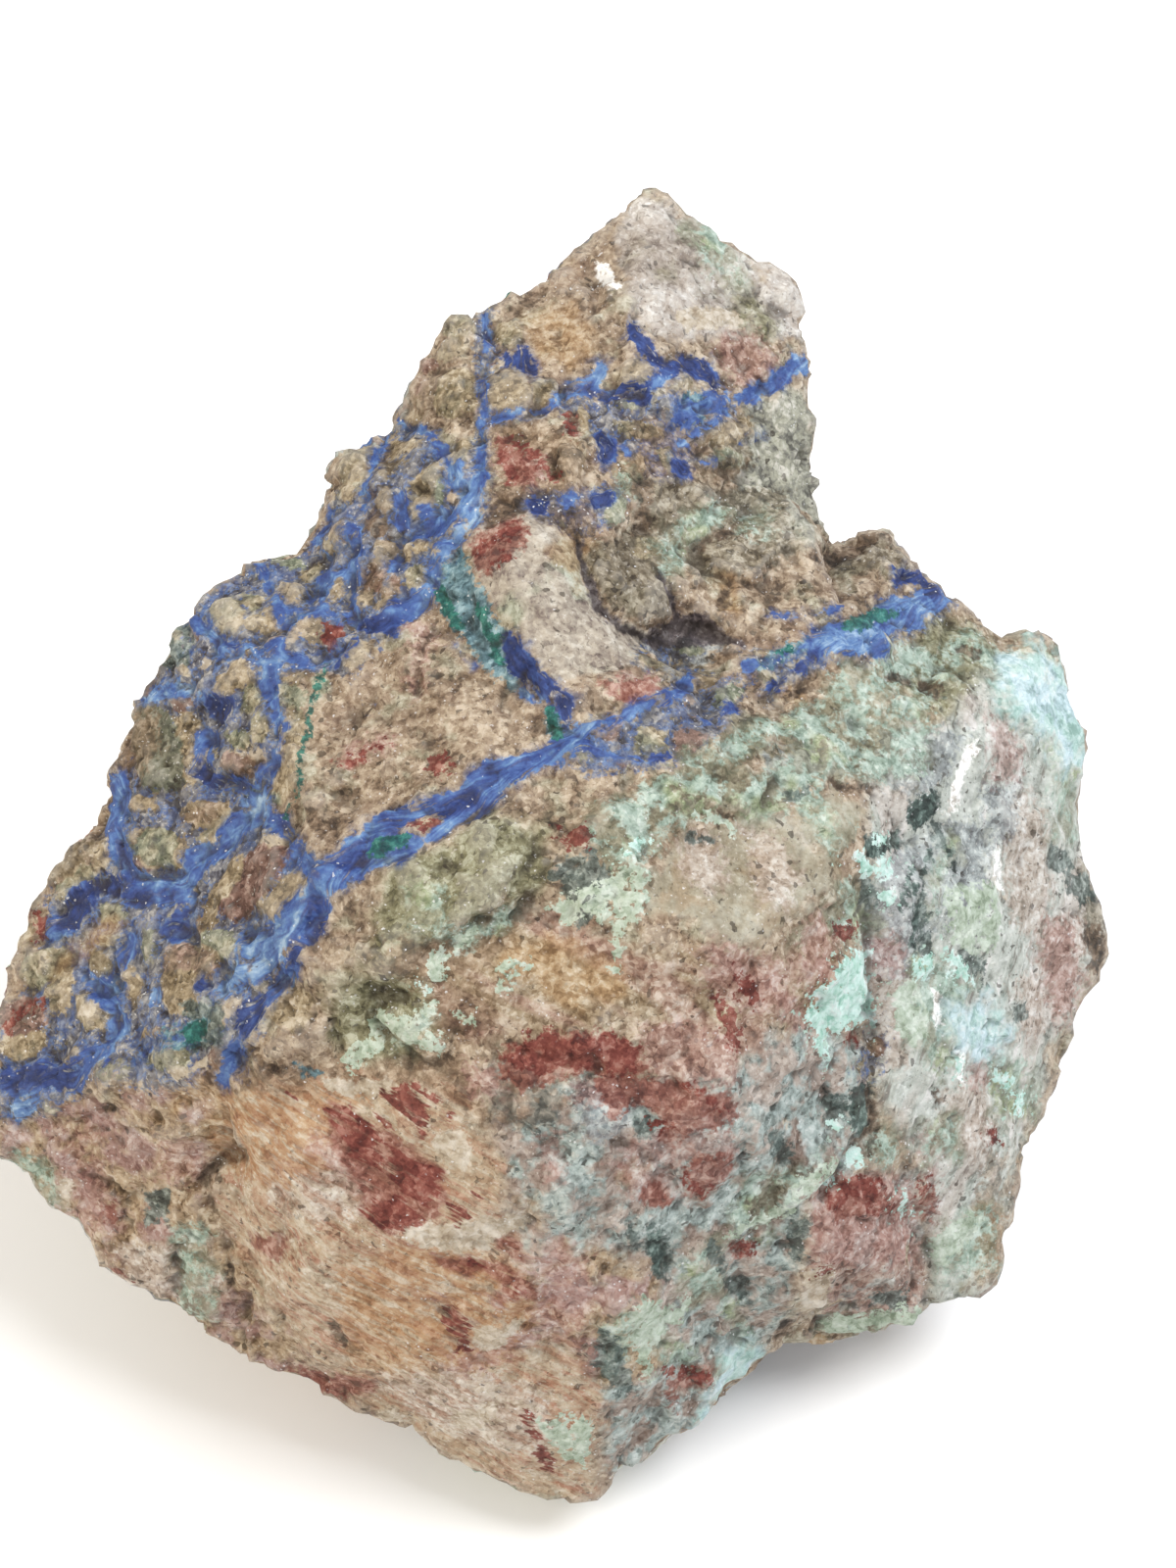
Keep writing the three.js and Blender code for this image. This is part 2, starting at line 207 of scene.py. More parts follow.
def ellipses(pieces):
    nearest, red, light = np.full(count, FAR), np.full(count, 0.5), np.zeros(count)
    for x, y, half_long, half_wide, turn, redness, lightness in pieces:
        c, s = math.cos(math.radians(turn)), math.sin(math.radians(turn))
        off = seen_at - (x, y)
        along = (off[:, 0] * c - off[:, 1] * s) / half_long
        sideways = (off[:, 0] * s + off[:, 1] * c) / half_wide
        squarish = (np.abs(along) ** 2.5 + np.abs(sideways) ** 2.5) ** 0.4
        away = (squarish - 1) * min(half_long, half_wide) / PIXELS_PER_MM
        nearer = away < nearest
        nearest[nearer], red[nearer], light[nearer] = away[nearer], redness, lightness
    return nearest + OFF_VIEW * unseen, red, light


piece, piece_red, piece_light = ellipses(rock_pieces)

# Azurite: the blue veins, broken up along their run, with darker and paler blue stretches.
azurite_lines = [
        (0.94, 0, 1104, 38, 1098, 57, 1094, 77, 1101, 96, 1085, 112, 1069), (1.02, 331, 925, 333, 900, 341,
         887, 357, 871), (1.2, 357, 871, 376, 858, 399, 850, 420, 846), (1.2, 420, 846, 444, 837, 469, 823,
         492, 806), (0.98, 492, 804, 517, 794, 539, 780, 559, 769, 578, 760), (0.51, 578, 760, 597, 745,
         622, 741, 641, 732, 667, 719, 686, 710, 702, 700), (0.24, 571, 783, 584, 776, 603, 770, 622, 773,
         641, 777, 661, 780, 677, 773), (0.3, 718, 738, 737, 735, 752, 731), (0.34, 778, 706, 794, 697, 810,
         687, 826, 674), (0.42, 760, 684, 779, 678, 795, 671, 820, 662), (0.94, 830, 660, 850, 656, 876,
         654, 892, 647), (1.1, 892, 647, 914, 632, 933, 619, 953, 609), (0.17, 785, 630, 804, 630, 826, 627,
         852, 623), (0.77, 520, 652, 533, 668, 546, 687, 559, 703, 574, 716, 578, 735), (0.12, 460, 659,
         476, 671, 486, 680), (0.26, 495, 322, 499, 358, 497, 403, 492, 435), (0.38, 492, 435, 495, 460,
         491, 490), (0.64, 491, 490, 489, 515, 482, 536, 470, 548, 456, 563, 444, 588), (0.51, 444, 588,
         431, 610, 422, 620, 412, 633), (0.42, 508, 432, 530, 425, 552, 422, 568, 409, 578, 400), (0.64,
         578, 400, 597, 394, 616, 378), (0.55, 603, 400, 622, 408, 641, 406, 661, 400, 673, 387), (0.59,
         645, 338, 657, 356, 673, 372, 686, 380), (0.64, 700, 368, 714, 371, 728, 387), (0.51, 731, 403,
         715, 416, 699, 426, 686, 435), (0.59, 744, 405, 757, 408, 779, 397, 794, 387, 808, 375, 822, 364),
        (0.42, 740, 422, 718, 435, 696, 450), (0.55, 616, 454, 622, 470), (0.26, 636, 462, 640, 468), (0.51,
         690, 474, 696, 480), (0.26, 711, 472, 718, 475), (0.17, 752, 454, 772, 446), (0.38, 541, 511, 552,
         518), (0.34, 575, 511, 592, 506), (0.42, 608, 513, 619, 512), (0.38, 399, 424, 415, 435, 431, 445,
         453, 458, 460, 480, 466, 494), (0.34, 394, 440, 390, 452, 383, 473, 377, 490, 374, 517, 368, 537),
        (0.51, 368, 537, 365, 559, 363, 584, 362, 610, 365, 632), (0.21, 407, 508, 414, 524, 412, 546, 406,
         571, 403, 594), (0.26, 444, 531, 428, 547, 415, 556), (0.42, 339, 520, 336, 536, 323, 552, 338,
         570), (0.47, 362, 584, 349, 587, 336, 597, 323, 610, 317, 622, 304, 629, 298, 640, 295, 650),
        (0.26, 339, 584, 330, 603), (0.38, 304, 629, 320, 627, 336, 625, 355, 635, 365, 632), (0.59, 365,
         635, 387, 641, 406, 626, 422, 613, 438, 600, 448, 584), (0.42, 295, 650, 290, 662, 279, 667, 298,
         677, 323, 680, 342, 672, 365, 664), (0.51, 186, 622, 205, 635, 218, 651, 228, 667), (0.59, 228,
         667, 240, 668, 253, 664, 266, 667, 279, 668), (0.42, 266, 574, 275, 600, 288, 622, 291, 641),
        (0.34, 187, 690, 200, 702, 212, 715), (0.51, 279, 680, 285, 705, 282, 724, 288, 747, 288, 769),
        (0.47, 288, 769, 279, 791, 274, 807, 269, 826), (0.77, 212, 753, 205, 788, 224, 798), (0.59, 224,
         798, 243, 801, 259, 807, 269, 820), (0.68, 269, 828, 262, 833, 250, 846, 237, 862, 218, 878, 205,
         887, 197, 905), (0.42, 205, 868, 224, 858, 237, 846, 250, 833), (0.42, 262, 833, 274, 836, 287,
         839, 298, 853, 310, 868, 320, 880, 331, 900), (1.1, 120, 800, 120, 821, 118, 845, 123, 862, 128,
         880), (1.1, 128, 880, 137, 910, 153, 903, 172, 908, 192, 909), (1.2, 150, 915, 172, 915, 190, 915),
        (0.68, 179, 954, 190, 952), (1.02, 255, 967, 271, 954, 293, 948, 313, 929, 325, 916), (0.59, 137,
         957, 131, 980, 126, 1005), (0.68, 96, 999, 108, 1018, 121, 1037, 127, 1059), (0.42, 159, 1072, 175,
         1060, 190, 1056), (0.85, 309, 970, 297, 992, 281, 1018, 262, 1037, 252, 1056), (0.51, 252, 1056,
         242, 1075, 236, 1085, 230, 1101),
]
azurite = marks(azurite_lines, [
        (325, 882, 345, 866, 370, 843, 385, 831, 405, 826, 430, 820, 450, 815, 470, 802, 495, 781, 515, 771,
         545, 766, 562, 755, 580, 750, 590, 762, 572, 778, 552, 786, 530, 799, 510, 815, 490, 830, 462, 850,
         445, 860, 420, 870, 400, 885, 380, 889, 362, 896, 348, 910, 330, 922), (318, 921, 340, 914, 346,
         925, 326, 946, 302, 962, 278, 985, 264, 1006, 256, 1000, 256, 966, 274, 948, 298, 936), (248, 978,
         256, 985, 253, 1002, 243, 1015, 226, 1022, 222, 1012, 236, 1000, 240, 985), (268, 1012, 276, 1022,
         262, 1040, 255, 1052, 240, 1050, 246, 1030, 258, 1018), (237, 1058, 243, 1060, 242, 1080, 238,
         1098, 231, 1102, 232, 1085, 234, 1070), (262, 826, 270, 832, 285, 834, 292, 838, 300, 850, 312,
         866, 325, 880, 322, 895, 308, 890, 298, 880, 302, 868, 292, 852, 280, 846, 268, 845, 255, 850, 240,
         868, 225, 878, 212, 880, 200, 890, 195, 900, 185, 885, 197, 868, 205, 866, 215, 868, 228, 862, 240,
         848, 250, 836), (135, 888, 155, 895, 175, 890, 192, 890, 200, 905, 192, 920, 172, 922, 152, 918,
         142, 910, 134, 900), (118, 797, 132, 800, 136, 822, 134, 862, 133, 886, 122, 880, 112, 860, 108,
         835, 112, 812), (88, 903, 105, 905, 106, 925, 95, 946, 76, 958, 55, 962, 52, 946, 62, 935, 76,
         918), (183, 930, 195, 932, 200, 950, 196, 962, 178, 965, 168, 955, 178, 945), (126, 965, 138, 960,
         143, 975, 138, 988, 126, 992, 122, 978), (112, 1040, 130, 1038, 138, 1048, 132, 1066, 118, 1070,
         108, 1058), (100, 1003, 118, 1002, 128, 1015, 122, 1030, 108, 1022), (0, 1095, 25, 1090, 50, 1085,
         75, 1090, 90, 1095, 80, 1108, 55, 1112, 25, 1118, 0, 1112), (208, 632, 222, 642, 224, 655, 232,
         662, 246, 664, 262, 662, 275, 668, 292, 676, 292, 690, 285, 700, 285, 720, 290, 745, 292, 765, 286,
         790, 272, 812, 268, 828, 258, 826, 256, 812, 268, 800, 278, 788, 284, 765, 280, 745, 276, 720, 272,
         700, 266, 680, 252, 674, 240, 676, 228, 672, 215, 655, 205, 645), (300, 625, 315, 622, 325, 612,
         335, 596, 342, 588, 346, 598, 336, 612, 330, 625, 338, 634, 322, 634, 305, 642, 297, 655, 293,
         645), (355, 570, 366, 560, 368, 590, 368, 610, 366, 632, 380, 638, 400, 632, 415, 622, 430, 606,
         445, 588, 458, 580, 452, 600, 440, 615, 425, 630, 405, 645, 380, 650, 362, 645, 352, 635, 358, 615,
         354, 590), (690, 405, 715, 410, 712, 430, 690, 435), (715, 400, 745, 402, 740, 425, 715, 420),
        (465, 485, 480, 492, 492, 470, 497, 490, 497, 515, 485, 535, 475, 545, 470, 530, 478, 515, 468,
         500), (430, 522, 470, 520, 468, 543, 440, 545), (405, 505, 420, 508, 418, 545, 408, 550), (575,
         740, 600, 742, 600, 768, 578, 770), (830, 642, 900, 640, 898, 672, 834, 676), (890, 612, 950, 608,
         948, 636, 892, 642),
])
strand = marks([(0, *line[1:]) for line in azurite_lines])  # from the veins' middles
azurite_deep = marks([
        (0.9, 332, 928, 322, 948, 309, 968), (0.45, 375, 640, 387, 645, 400, 640), (0.72, 517, 371, 533,
         365), (0.45, 533, 367, 546, 384), (0.45, 603, 400, 622, 409, 645, 409), (0.5, 648, 343, 660, 362,
         676, 378, 690, 384), (0.54, 704, 372, 718, 377, 728, 390), (0.54, 522, 655, 536, 675, 550, 695),
        (0.81, 223, 718, 233, 724), (1.44, 89, 922, 82, 932), (1.08, 100, 912, 112, 904), (0.81, 188, 935,
         188, 944), (0.54, 209, 1009, 213, 1011), (0.81, 10, 1104, 45, 1098, 72, 1100), (0.45, 917, 589,
         933, 591, 949, 598, 949, 606), (0.32, 786, 703, 799, 694, 815, 684, 828, 673), (0.54, 435, 838,
         460, 826, 484, 812), (0.45, 352, 884, 366, 872), (0.45, 237, 657, 244, 661), (0.5, 205, 790, 224,
         798), (0.54, 140, 915, 152, 922), (0.63, 269, 1035, 258, 1050),
], [
        (380, 632, 408, 632, 406, 650, 380, 650), (268, 1012, 276, 1022, 262, 1040, 255, 1052, 240, 1050,
         246, 1030, 258, 1018), (216, 715, 242, 713, 245, 725, 238, 738, 222, 740, 215, 728), (515, 640,
         530, 655, 545, 680, 560, 695, 580, 705, 583, 730, 575, 735, 570, 715, 550, 705, 530, 695, 520,
         670), (512, 375, 520, 362, 535, 356, 541, 370, 550, 385, 545, 390, 530, 382), (625, 396, 665, 395,
         664, 414, 628, 414), (641, 335, 648, 330, 660, 345, 672, 360, 685, 375, 690, 390, 678, 385, 665,
         370, 650, 360, 642, 350), (700, 362, 712, 360, 722, 372, 733, 388, 730, 398, 715, 388, 700, 380,
         692, 370), (607, 452, 616, 446, 625, 455, 625, 470, 616, 478, 607, 470), (680, 468, 705, 470, 704,
         490, 684, 489), (540, 503, 560, 506, 558, 525, 542, 523), (600, 505, 622, 507, 620, 522, 602, 520),
        (910, 583, 950, 586, 949, 600, 912, 598), (735, 725, 755, 727, 753, 738, 737, 737), (660, 771, 680,
         772, 678, 783, 662, 782), (78, 918, 98, 908, 104, 920, 92, 944, 76, 952, 66, 944),
])
azurite_sky = marks([
        (0.81, 471, 490, 480, 512, 486, 525), (0.45, 610, 399, 622, 403, 636, 404), (0.45, 672, 388, 678,
         383), (0.36, 540, 425, 548, 424), (0.45, 250, 665, 262, 666), (0.41, 228, 668, 234, 672), (0.36,
         154, 715, 168, 706, 183, 699), (0.72, 256, 815, 266, 824), (0.81, 242, 988, 236, 1005, 233, 1015),
        (0.54, 250, 972, 244, 985), (0.36, 163, 1013, 159, 1026), (0.9, 34, 1124, 22, 1134), (0.54, 958,
         609, 966, 608), (0.63, 838, 658, 850, 655, 872, 657), (0.45, 530, 703, 540, 709, 552, 712), (0.45,
         452, 846, 470, 838), (0.32, 333, 905, 339, 915),
], [
        (900, 618, 955, 604, 968, 612, 950, 636, 905, 650), (318, 921, 340, 914, 346, 925, 326, 946, 302,
         962, 278, 985, 264, 1006, 256, 1000, 256, 966, 274, 948, 298, 936), (248, 978, 256, 985, 253, 1002,
         243, 1015, 226, 1022, 222, 1012, 236, 1000, 240, 985), (20, 1125, 38, 1112, 48, 1118, 36, 1132, 24,
         1138), (152, 716, 165, 706, 182, 699, 192, 700, 205, 705, 200, 712, 185, 708, 170, 712, 156, 722),
        (565, 412, 570, 398, 590, 392, 605, 380, 620, 372, 622, 385, 612, 395, 625, 400, 635, 410, 620, 412,
         600, 408), (670, 375, 685, 378, 684, 394, 672, 394), (805, 357, 825, 360, 824, 384, 808, 384),
        (836, 646, 880, 642, 895, 655, 870, 672, 840, 672), (950, 603, 970, 608, 968, 619, 952, 618), (232,
         664, 262, 664, 275, 670, 262, 676, 236, 676), (470, 490, 484, 496, 486, 520, 476, 535, 470, 515),
])
azurite = np.minimum(azurite, np.minimum(azurite_deep, azurite_sky))
azurite_tone = step(0.6, -0.2, azurite_sky) - 2 * step(0.6, -0.2, azurite_deep)
rock_in_vein = marks([
    (0.75, 420, 843, 444, 838), (0.7, 690, 728, 712, 722), (0.6, 612, 752, 628, 748),
    (0.6, 760, 700, 775, 694),
])
azurite = np.maximum(azurite, -rock_in_vein)

# Malachite, and the blue-green between it and the azurite.
malachite = marks([
        (0.52, 449, 605, 460, 623, 470, 639), (0.42, 491, 618, 501, 636, 508, 656, 511, 674), (0.49, 562,
         730, 568, 751), (0.52, 862, 642, 885, 636, 907, 628), (0.39, 792, 668, 806, 664), (0.7, 384, 865,
         396, 861, 410, 857), (0.63, 194, 1053, 210, 1050), (0.21, 336, 680, 323, 708, 320, 731, 311, 760,
         309, 782, 310, 804, 298, 820, 291, 836),
], [
        (447, 598, 457, 600, 462, 618, 476, 640, 468, 642, 452, 622), (493, 615, 503, 622, 510, 645, 516,
         655, 508, 662, 500, 645), (502, 668, 516, 668, 518, 678, 505, 680), (556, 722, 568, 722, 566, 735,
         576, 755, 566, 758, 560, 742), (862, 642, 885, 630, 908, 625, 900, 640, 875, 650), (795, 663, 812,
         660, 812, 666, 798, 670), (374, 868, 392, 856, 410, 852, 408, 862, 390, 874, 378, 878), (190, 1052,
         205, 1042, 214, 1045, 212, 1060, 200, 1066, 188, 1062),
])
teal = marks([
        (0.8, 476, 646, 492, 662, 508, 680, 520, 694), (0.4, 445, 600, 460, 630, 476, 650), (0.64, 798, 667,
         826, 660), (0.64, 180, 1056, 195, 1058, 214, 1046), (0.64, 380, 872, 400, 866, 414, 860), (0.72,
         700, 408, 718, 412, 708, 425),
], [
        (468, 588, 488, 598, 512, 640, 532, 690, 522, 704, 495, 684, 474, 652, 460, 622), (442, 592, 460,
         570, 470, 560, 482, 582, 500, 608, 515, 638, 526, 668, 530, 700, 515, 690, 492, 662, 466, 637, 446,
         612), (760, 682, 790, 665, 818, 655, 826, 662, 795, 678, 770, 688), (834, 655, 862, 640, 900, 622,
         912, 628, 890, 650, 860, 668, 838, 668), (250, 795, 268, 800, 268, 822, 255, 820), (370, 868, 395,
         852, 412, 855, 405, 870, 385, 880), (168, 1062, 190, 1045, 212, 1038, 218, 1052, 205, 1066, 180,
         1068), (480, 795, 505, 788, 530, 790, 525, 805, 495, 812, 482, 808), (555, 720, 575, 722, 578, 760,
         566, 762, 556, 745), (300, 1082, 320, 1085, 330, 1095, 310, 1100),
])

# Crusts of mint and turquoise green, and the thinner wash of the same mineral.
mint = marks([
        (0.42, 882, 972, 874, 990, 862, 1005), (0.77, 876, 1000, 868, 1018, 850, 1032), (0.56, 884, 1020,
         880, 1038), (0.35, 834, 1040, 832, 1062), (0.32, 836, 1075, 842, 1084), (0.56, 872, 873, 878, 882),
        (0.49, 898, 882, 907, 890), (0.35, 892, 858, 900, 852), (0.42, 900, 915, 906, 918), (0.56, 934, 985,
         940, 982), (0.35, 862, 1178, 868, 1180), (0.28, 914, 1215, 924, 1235), (0.32, 842, 1204, 838,
         1208), (0.35, 972, 1080, 975, 1095), (0.35, 1015, 1095, 1030, 1100), (0.24, 1034, 1115, 1036,
         1130), (0.35, 640, 870, 655, 860), (0.28, 430, 1000, 440, 1012),
], [
        (960, 966, 972, 974, 984, 988, 990, 1002, 978, 996, 964, 984), (879, 963, 882, 980, 884, 1000, 880,
         1015, 890, 1022, 892, 1035, 888, 1052, 882, 1040, 872, 1045, 860, 1045, 850, 1055, 842, 1050, 838,
         1070, 842, 1085, 832, 1075, 826, 1060, 828, 1048, 820, 1040, 818, 1030, 828, 1025, 830, 1010, 843,
         1000, 848, 985, 862, 975), (864, 872, 876, 864, 882, 880, 892, 882, 895, 875, 905, 878, 908, 890,
         903, 898, 888, 892, 872, 893, 868, 880), (898, 905, 908, 903, 912, 912, 905, 920, 896, 916), (930,
         985, 945, 975, 950, 985, 940, 1000, 930, 998), (962, 978, 975, 975, 985, 985, 975, 1000, 965, 992),
        (858, 1172, 870, 1168, 876, 1178, 868, 1190, 858, 1188), (842, 1145, 862, 1142, 855, 1150), (913,
         1213, 920, 1220, 926, 1235, 920, 1238, 912, 1225), (834, 1202, 843, 1200, 845, 1208, 837, 1210),
        (966, 1080, 978, 1085, 978, 1098, 970, 1098), (1008, 1085, 1020, 1098, 1028, 1105, 1020, 1110, 1010,
         1100), (1032, 1112, 1040, 1112, 1040, 1138, 1031, 1138),
])
sage = marks([
        (0.49, 452, 966, 440, 990), (0.35, 470, 958, 486, 952), (0.56, 420, 1040, 435, 1030), (0.35, 395,
         1035, 405, 1050), (0.49, 632, 945, 628, 985), (0.35, 640, 930, 648, 940),
], [
        (962, 905, 1008, 900, 1020, 950, 1000, 975, 966, 960), (642, 1330, 652, 1318, 660, 1325, 668, 1322,
         676, 1330, 690, 1330, 698, 1318, 702, 1325, 695, 1345, 680, 1350, 672, 1370, 665, 1372, 660, 1400,
         655, 1405, 650, 1380, 640, 1372, 628, 1370, 640, 1355), (906, 1002, 926, 1000, 946, 1030, 942,
         1062, 925, 1066, 910, 1040), (735, 1268, 745, 1252, 776, 1240, 800, 1228, 808, 1206, 846, 1180,
         850, 1190, 812, 1224, 800, 1240, 770, 1254, 745, 1266), (832, 1350, 850, 1340, 900, 1334, 936,
         1330, 942, 1342, 905, 1358, 868, 1369, 845, 1363), (948, 1264, 966, 1248, 990, 1236, 1004, 1240,
         990, 1262, 960, 1290, 950, 1286), (544, 1441, 560, 1446, 575, 1440, 600, 1448, 605, 1460, 598,
         1480, 600, 1500, 590, 1490, 575, 1482, 562, 1468, 552, 1455), (700, 830, 730, 828, 740, 835, 750,
         840, 748, 855, 740, 845, 720, 838, 705, 840), (436, 975, 455, 972, 478, 952, 488, 955, 470, 968,
         455, 975, 450, 985, 455, 1000, 440, 1000, 436, 988), (440, 1015, 448, 1018, 445, 1035, 432, 1035),
        (460, 1025, 475, 1035, 488, 1032, 482, 1042, 470, 1040, 460, 1032), (508, 1001, 520, 1001, 520,
         1012, 508, 1012), (400, 1030, 425, 1035, 430, 1050, 452, 1052, 455, 1072, 440, 1075, 425, 1062,
         405, 1062), (635, 910, 655, 905, 662, 915, 655, 935, 640, 948, 628, 945, 622, 930), (603, 905, 615,
         912, 622, 930, 615, 945, 605, 935, 600, 920), (350, 1080, 365, 1062, 385, 1050, 395, 1060, 380,
         1075, 362, 1095), (375, 1040, 395, 1025, 410, 1030, 400, 1045, 380, 1050), (556, 925, 600, 905,
         640, 880, 660, 890, 655, 905, 610, 930, 575, 945), (510, 985, 540, 975, 545, 985, 525, 1000, 508,
         1000),
])
turquoise = marks(patches=[
        (968, 1026, 1006, 1020, 1024, 1050, 1010, 1080, 982, 1084, 966, 1058), (690, 1468, 705, 1438, 722,
         1412, 732, 1390, 742, 1375, 760, 1366, 775, 1380, 762, 1408, 742, 1432, 722, 1458, 700, 1470),
        (700, 1450, 712, 1430, 728, 1412, 735, 1400, 742, 1385, 760, 1375, 768, 1385, 755, 1402, 735, 1425,
         715, 1452, 700, 1458), (1020, 675, 1050, 665, 1078, 680, 1095, 705, 1108, 740, 1108, 790, 1080,
         785, 1062, 755, 1035, 740, 1018, 715),
])
wash = marks([
        (1.3, 610, 850, 650, 822, 690, 800), (1.2, 700, 800, 740, 770, 790, 745), (1.5, 810, 745, 850, 720,
         890, 700), (1.3, 880, 740, 930, 720, 960, 690), (1, 800, 800, 850, 790, 880, 780), (1.3, 820, 820,
         850, 850), (1.3, 950, 680, 990, 660, 1010, 680), (1.7, 1060, 680, 1075, 710, 1080, 760), (1, 1080,
         790, 1080, 850), (0.8, 690, 545, 712, 530, 730, 520), (0.7, 760, 535, 780, 545), (0.6, 680, 570,
         690, 580), (0.9, 640, 490, 650, 510), (0.7, 715, 250, 735, 268), (0.5, 945, 930, 955, 890, 965,
         860), (0.6, 960, 1000, 975, 1010, 985, 1005), (0.7, 930, 1010, 940, 1050), (1.1, 640, 1350, 665,
         1360, 690, 1380), (0.8, 720, 1400, 760, 1375, 740, 1330), (1, 845, 1355, 890, 1350), (0.8, 880,
         1140, 900, 1180), (0.8, 430, 940, 470, 960, 520, 930), (0.7, 410, 1060, 440, 1035),
], [
        (850, 905, 890, 900, 900, 950, 870, 965, 848, 945), (180, 1250, 212, 1245, 222, 1300, 214, 1345,
         185, 1345), (20, 1178, 60, 1185, 58, 1240, 30, 1225), (610, 830, 650, 810, 680, 790, 700, 770, 730,
         775, 760, 790, 800, 780, 800, 745, 840, 725, 845, 700, 860, 680, 880, 690, 900, 660, 940, 650, 960,
         680, 960, 700, 920, 700, 905, 720, 950, 740, 940, 790, 900, 800, 870, 795, 830, 800, 800, 830, 770,
         835, 740, 820, 700, 835, 670, 850, 665, 870, 650, 885, 625, 880, 610, 860), (672, 545, 700, 530,
         730, 515, 745, 525, 720, 545, 700, 560, 690, 585, 675, 590, 668, 565), (750, 525, 790, 530, 785,
         548, 750, 545), (690, 225, 730, 230, 760, 250, 755, 290, 720, 280, 700, 260), (425, 905, 450, 900,
         450, 945, 430, 940, 418, 920), (610, 1350, 640, 1340, 640, 1400, 620, 1400), (700, 1270, 730, 1260,
         740, 1300, 715, 1330, 690, 1320), (760, 1200, 800, 1190, 840, 1180, 800, 1240, 770, 1260, 740,
         1240), (880, 1140, 910, 1140, 912, 1175, 880, 1180), (950, 1270, 970, 1240, 1010, 1230, 1012, 1290,
         960, 1305), (1015, 670, 1040, 665, 1075, 680, 1090, 700, 1105, 740, 1105, 790, 1080, 790, 1060,
         750, 1030, 740, 1015, 710), (925, 1010, 948, 1010, 948, 1058, 925, 1058), (925, 975, 950, 970, 975,
         990, 978, 1085, 955, 1095, 930, 1060), (1005, 1082, 1045, 1080, 1050, 1138, 1015, 1140), (935,
         1140, 975, 1140, 975, 1180, 940, 1182),
])

# Iron stains: dark red hematite, brown rust, pink, ochre.
hematite = marks([
        (0.18, 346, 1124, 372, 1138, 402, 1154), (0.18, 386, 1250, 402, 1262), (0.18, 480, 1214, 495, 1224,
         507, 1238), (0.21, 452, 1140, 462, 1136), (0.18, 296, 1112, 306, 1124), (0.24, 480, 1286, 496,
         1292), (0.24, 506, 1300, 530, 1316), (0.3, 662, 1142, 672, 1150, 684, 1148), (0.27, 700, 1200, 712,
         1212, 722, 1208), (0.24, 700, 1108, 722, 1122, 735, 1132), (0.3, 462, 1330, 475, 1345), (0.36, 543,
         1448, 548, 1470, 560, 1490), (0.54, 516, 470, 522, 490), (0.42, 530, 455, 550, 470, 565, 488),
        (0.48, 490, 565, 510, 552, 530, 540), (0.3, 505, 580, 518, 570), (0.33, 579, 425, 583, 450), (0.48,
         440, 779, 452, 783), (0.3, 418, 843, 434, 838), (0.3, 566, 848, 578, 856, 590, 848), (0.36, 340,
         655, 350, 640), (0.21, 348, 785, 362, 775, 374, 770), (0.18, 375, 768, 395, 760), (0.54, 45, 935,
         45, 955), (0.42, 12, 1050, 28, 1032, 44, 1026), (0.3, 863, 1058, 868, 1062), (0.72, 850, 1225, 870,
         1205, 890, 1215), (0.36, 885, 1230, 905, 1235), (0.3, 1008, 1152, 1012, 1165), (0.42, 935, 1210,
         945, 1205), (0.3, 838, 1295, 845, 1290), (0.3, 745, 1268, 765, 1270), (0.42, 680, 1395, 700, 1400,
         720, 1400), (0.24, 855, 945, 870, 950),
], [
        (514, 1074, 540, 1058, 560, 1051, 578, 1058, 602, 1060, 624, 1056, 650, 1068, 654, 1084, 645, 1097,
         625, 1092, 600, 1090, 575, 1093, 545, 1092, 525, 1087), (386, 1113, 402, 1112, 414, 1103, 430,
         1107, 430, 1118, 448, 1113, 456, 1106, 452, 1118, 440, 1127, 437, 1142, 435, 1161, 426, 1160, 424,
         1147, 412, 1138, 402, 1131, 390, 1122), (330, 1130, 342, 1133, 360, 1134, 384, 1148, 392, 1160,
         384, 1170, 402, 1188, 392, 1192, 366, 1181, 350, 1164, 342, 1150), (396, 1168, 425, 1180, 446,
         1192, 453, 1206, 446, 1222, 434, 1230, 416, 1222, 402, 1208, 396, 1190), (368, 1232, 384, 1222,
         405, 1218, 430, 1234, 442, 1243, 424, 1250, 402, 1254, 380, 1248), (455, 1227, 470, 1232, 480,
         1244, 470, 1250, 458, 1241), (450, 1135, 463, 1133, 458, 1145, 450, 1145), (450, 1325, 470, 1330,
         480, 1345, 478, 1380, 465, 1375, 455, 1350), (535, 1440, 545, 1445, 550, 1465, 565, 1490, 568,
         1502, 555, 1500, 545, 1480, 540, 1460), (438, 771, 463, 771, 461, 787, 450, 792, 438, 785), (337,
         640, 350, 636, 352, 655, 340, 668, 330, 660), (568, 845, 600, 845, 602, 862, 585, 865, 570, 858),
        (745, 985, 770, 1005, 775, 1020, 765, 1025, 750, 1010), (728, 1010, 745, 1030, 755, 1065, 745, 1070,
         735, 1045), (850, 940, 870, 945, 868, 960, 852, 958), (140, 1310, 152, 1318, 150, 1325), (413, 835,
         450, 835, 450, 845, 416, 846),
])
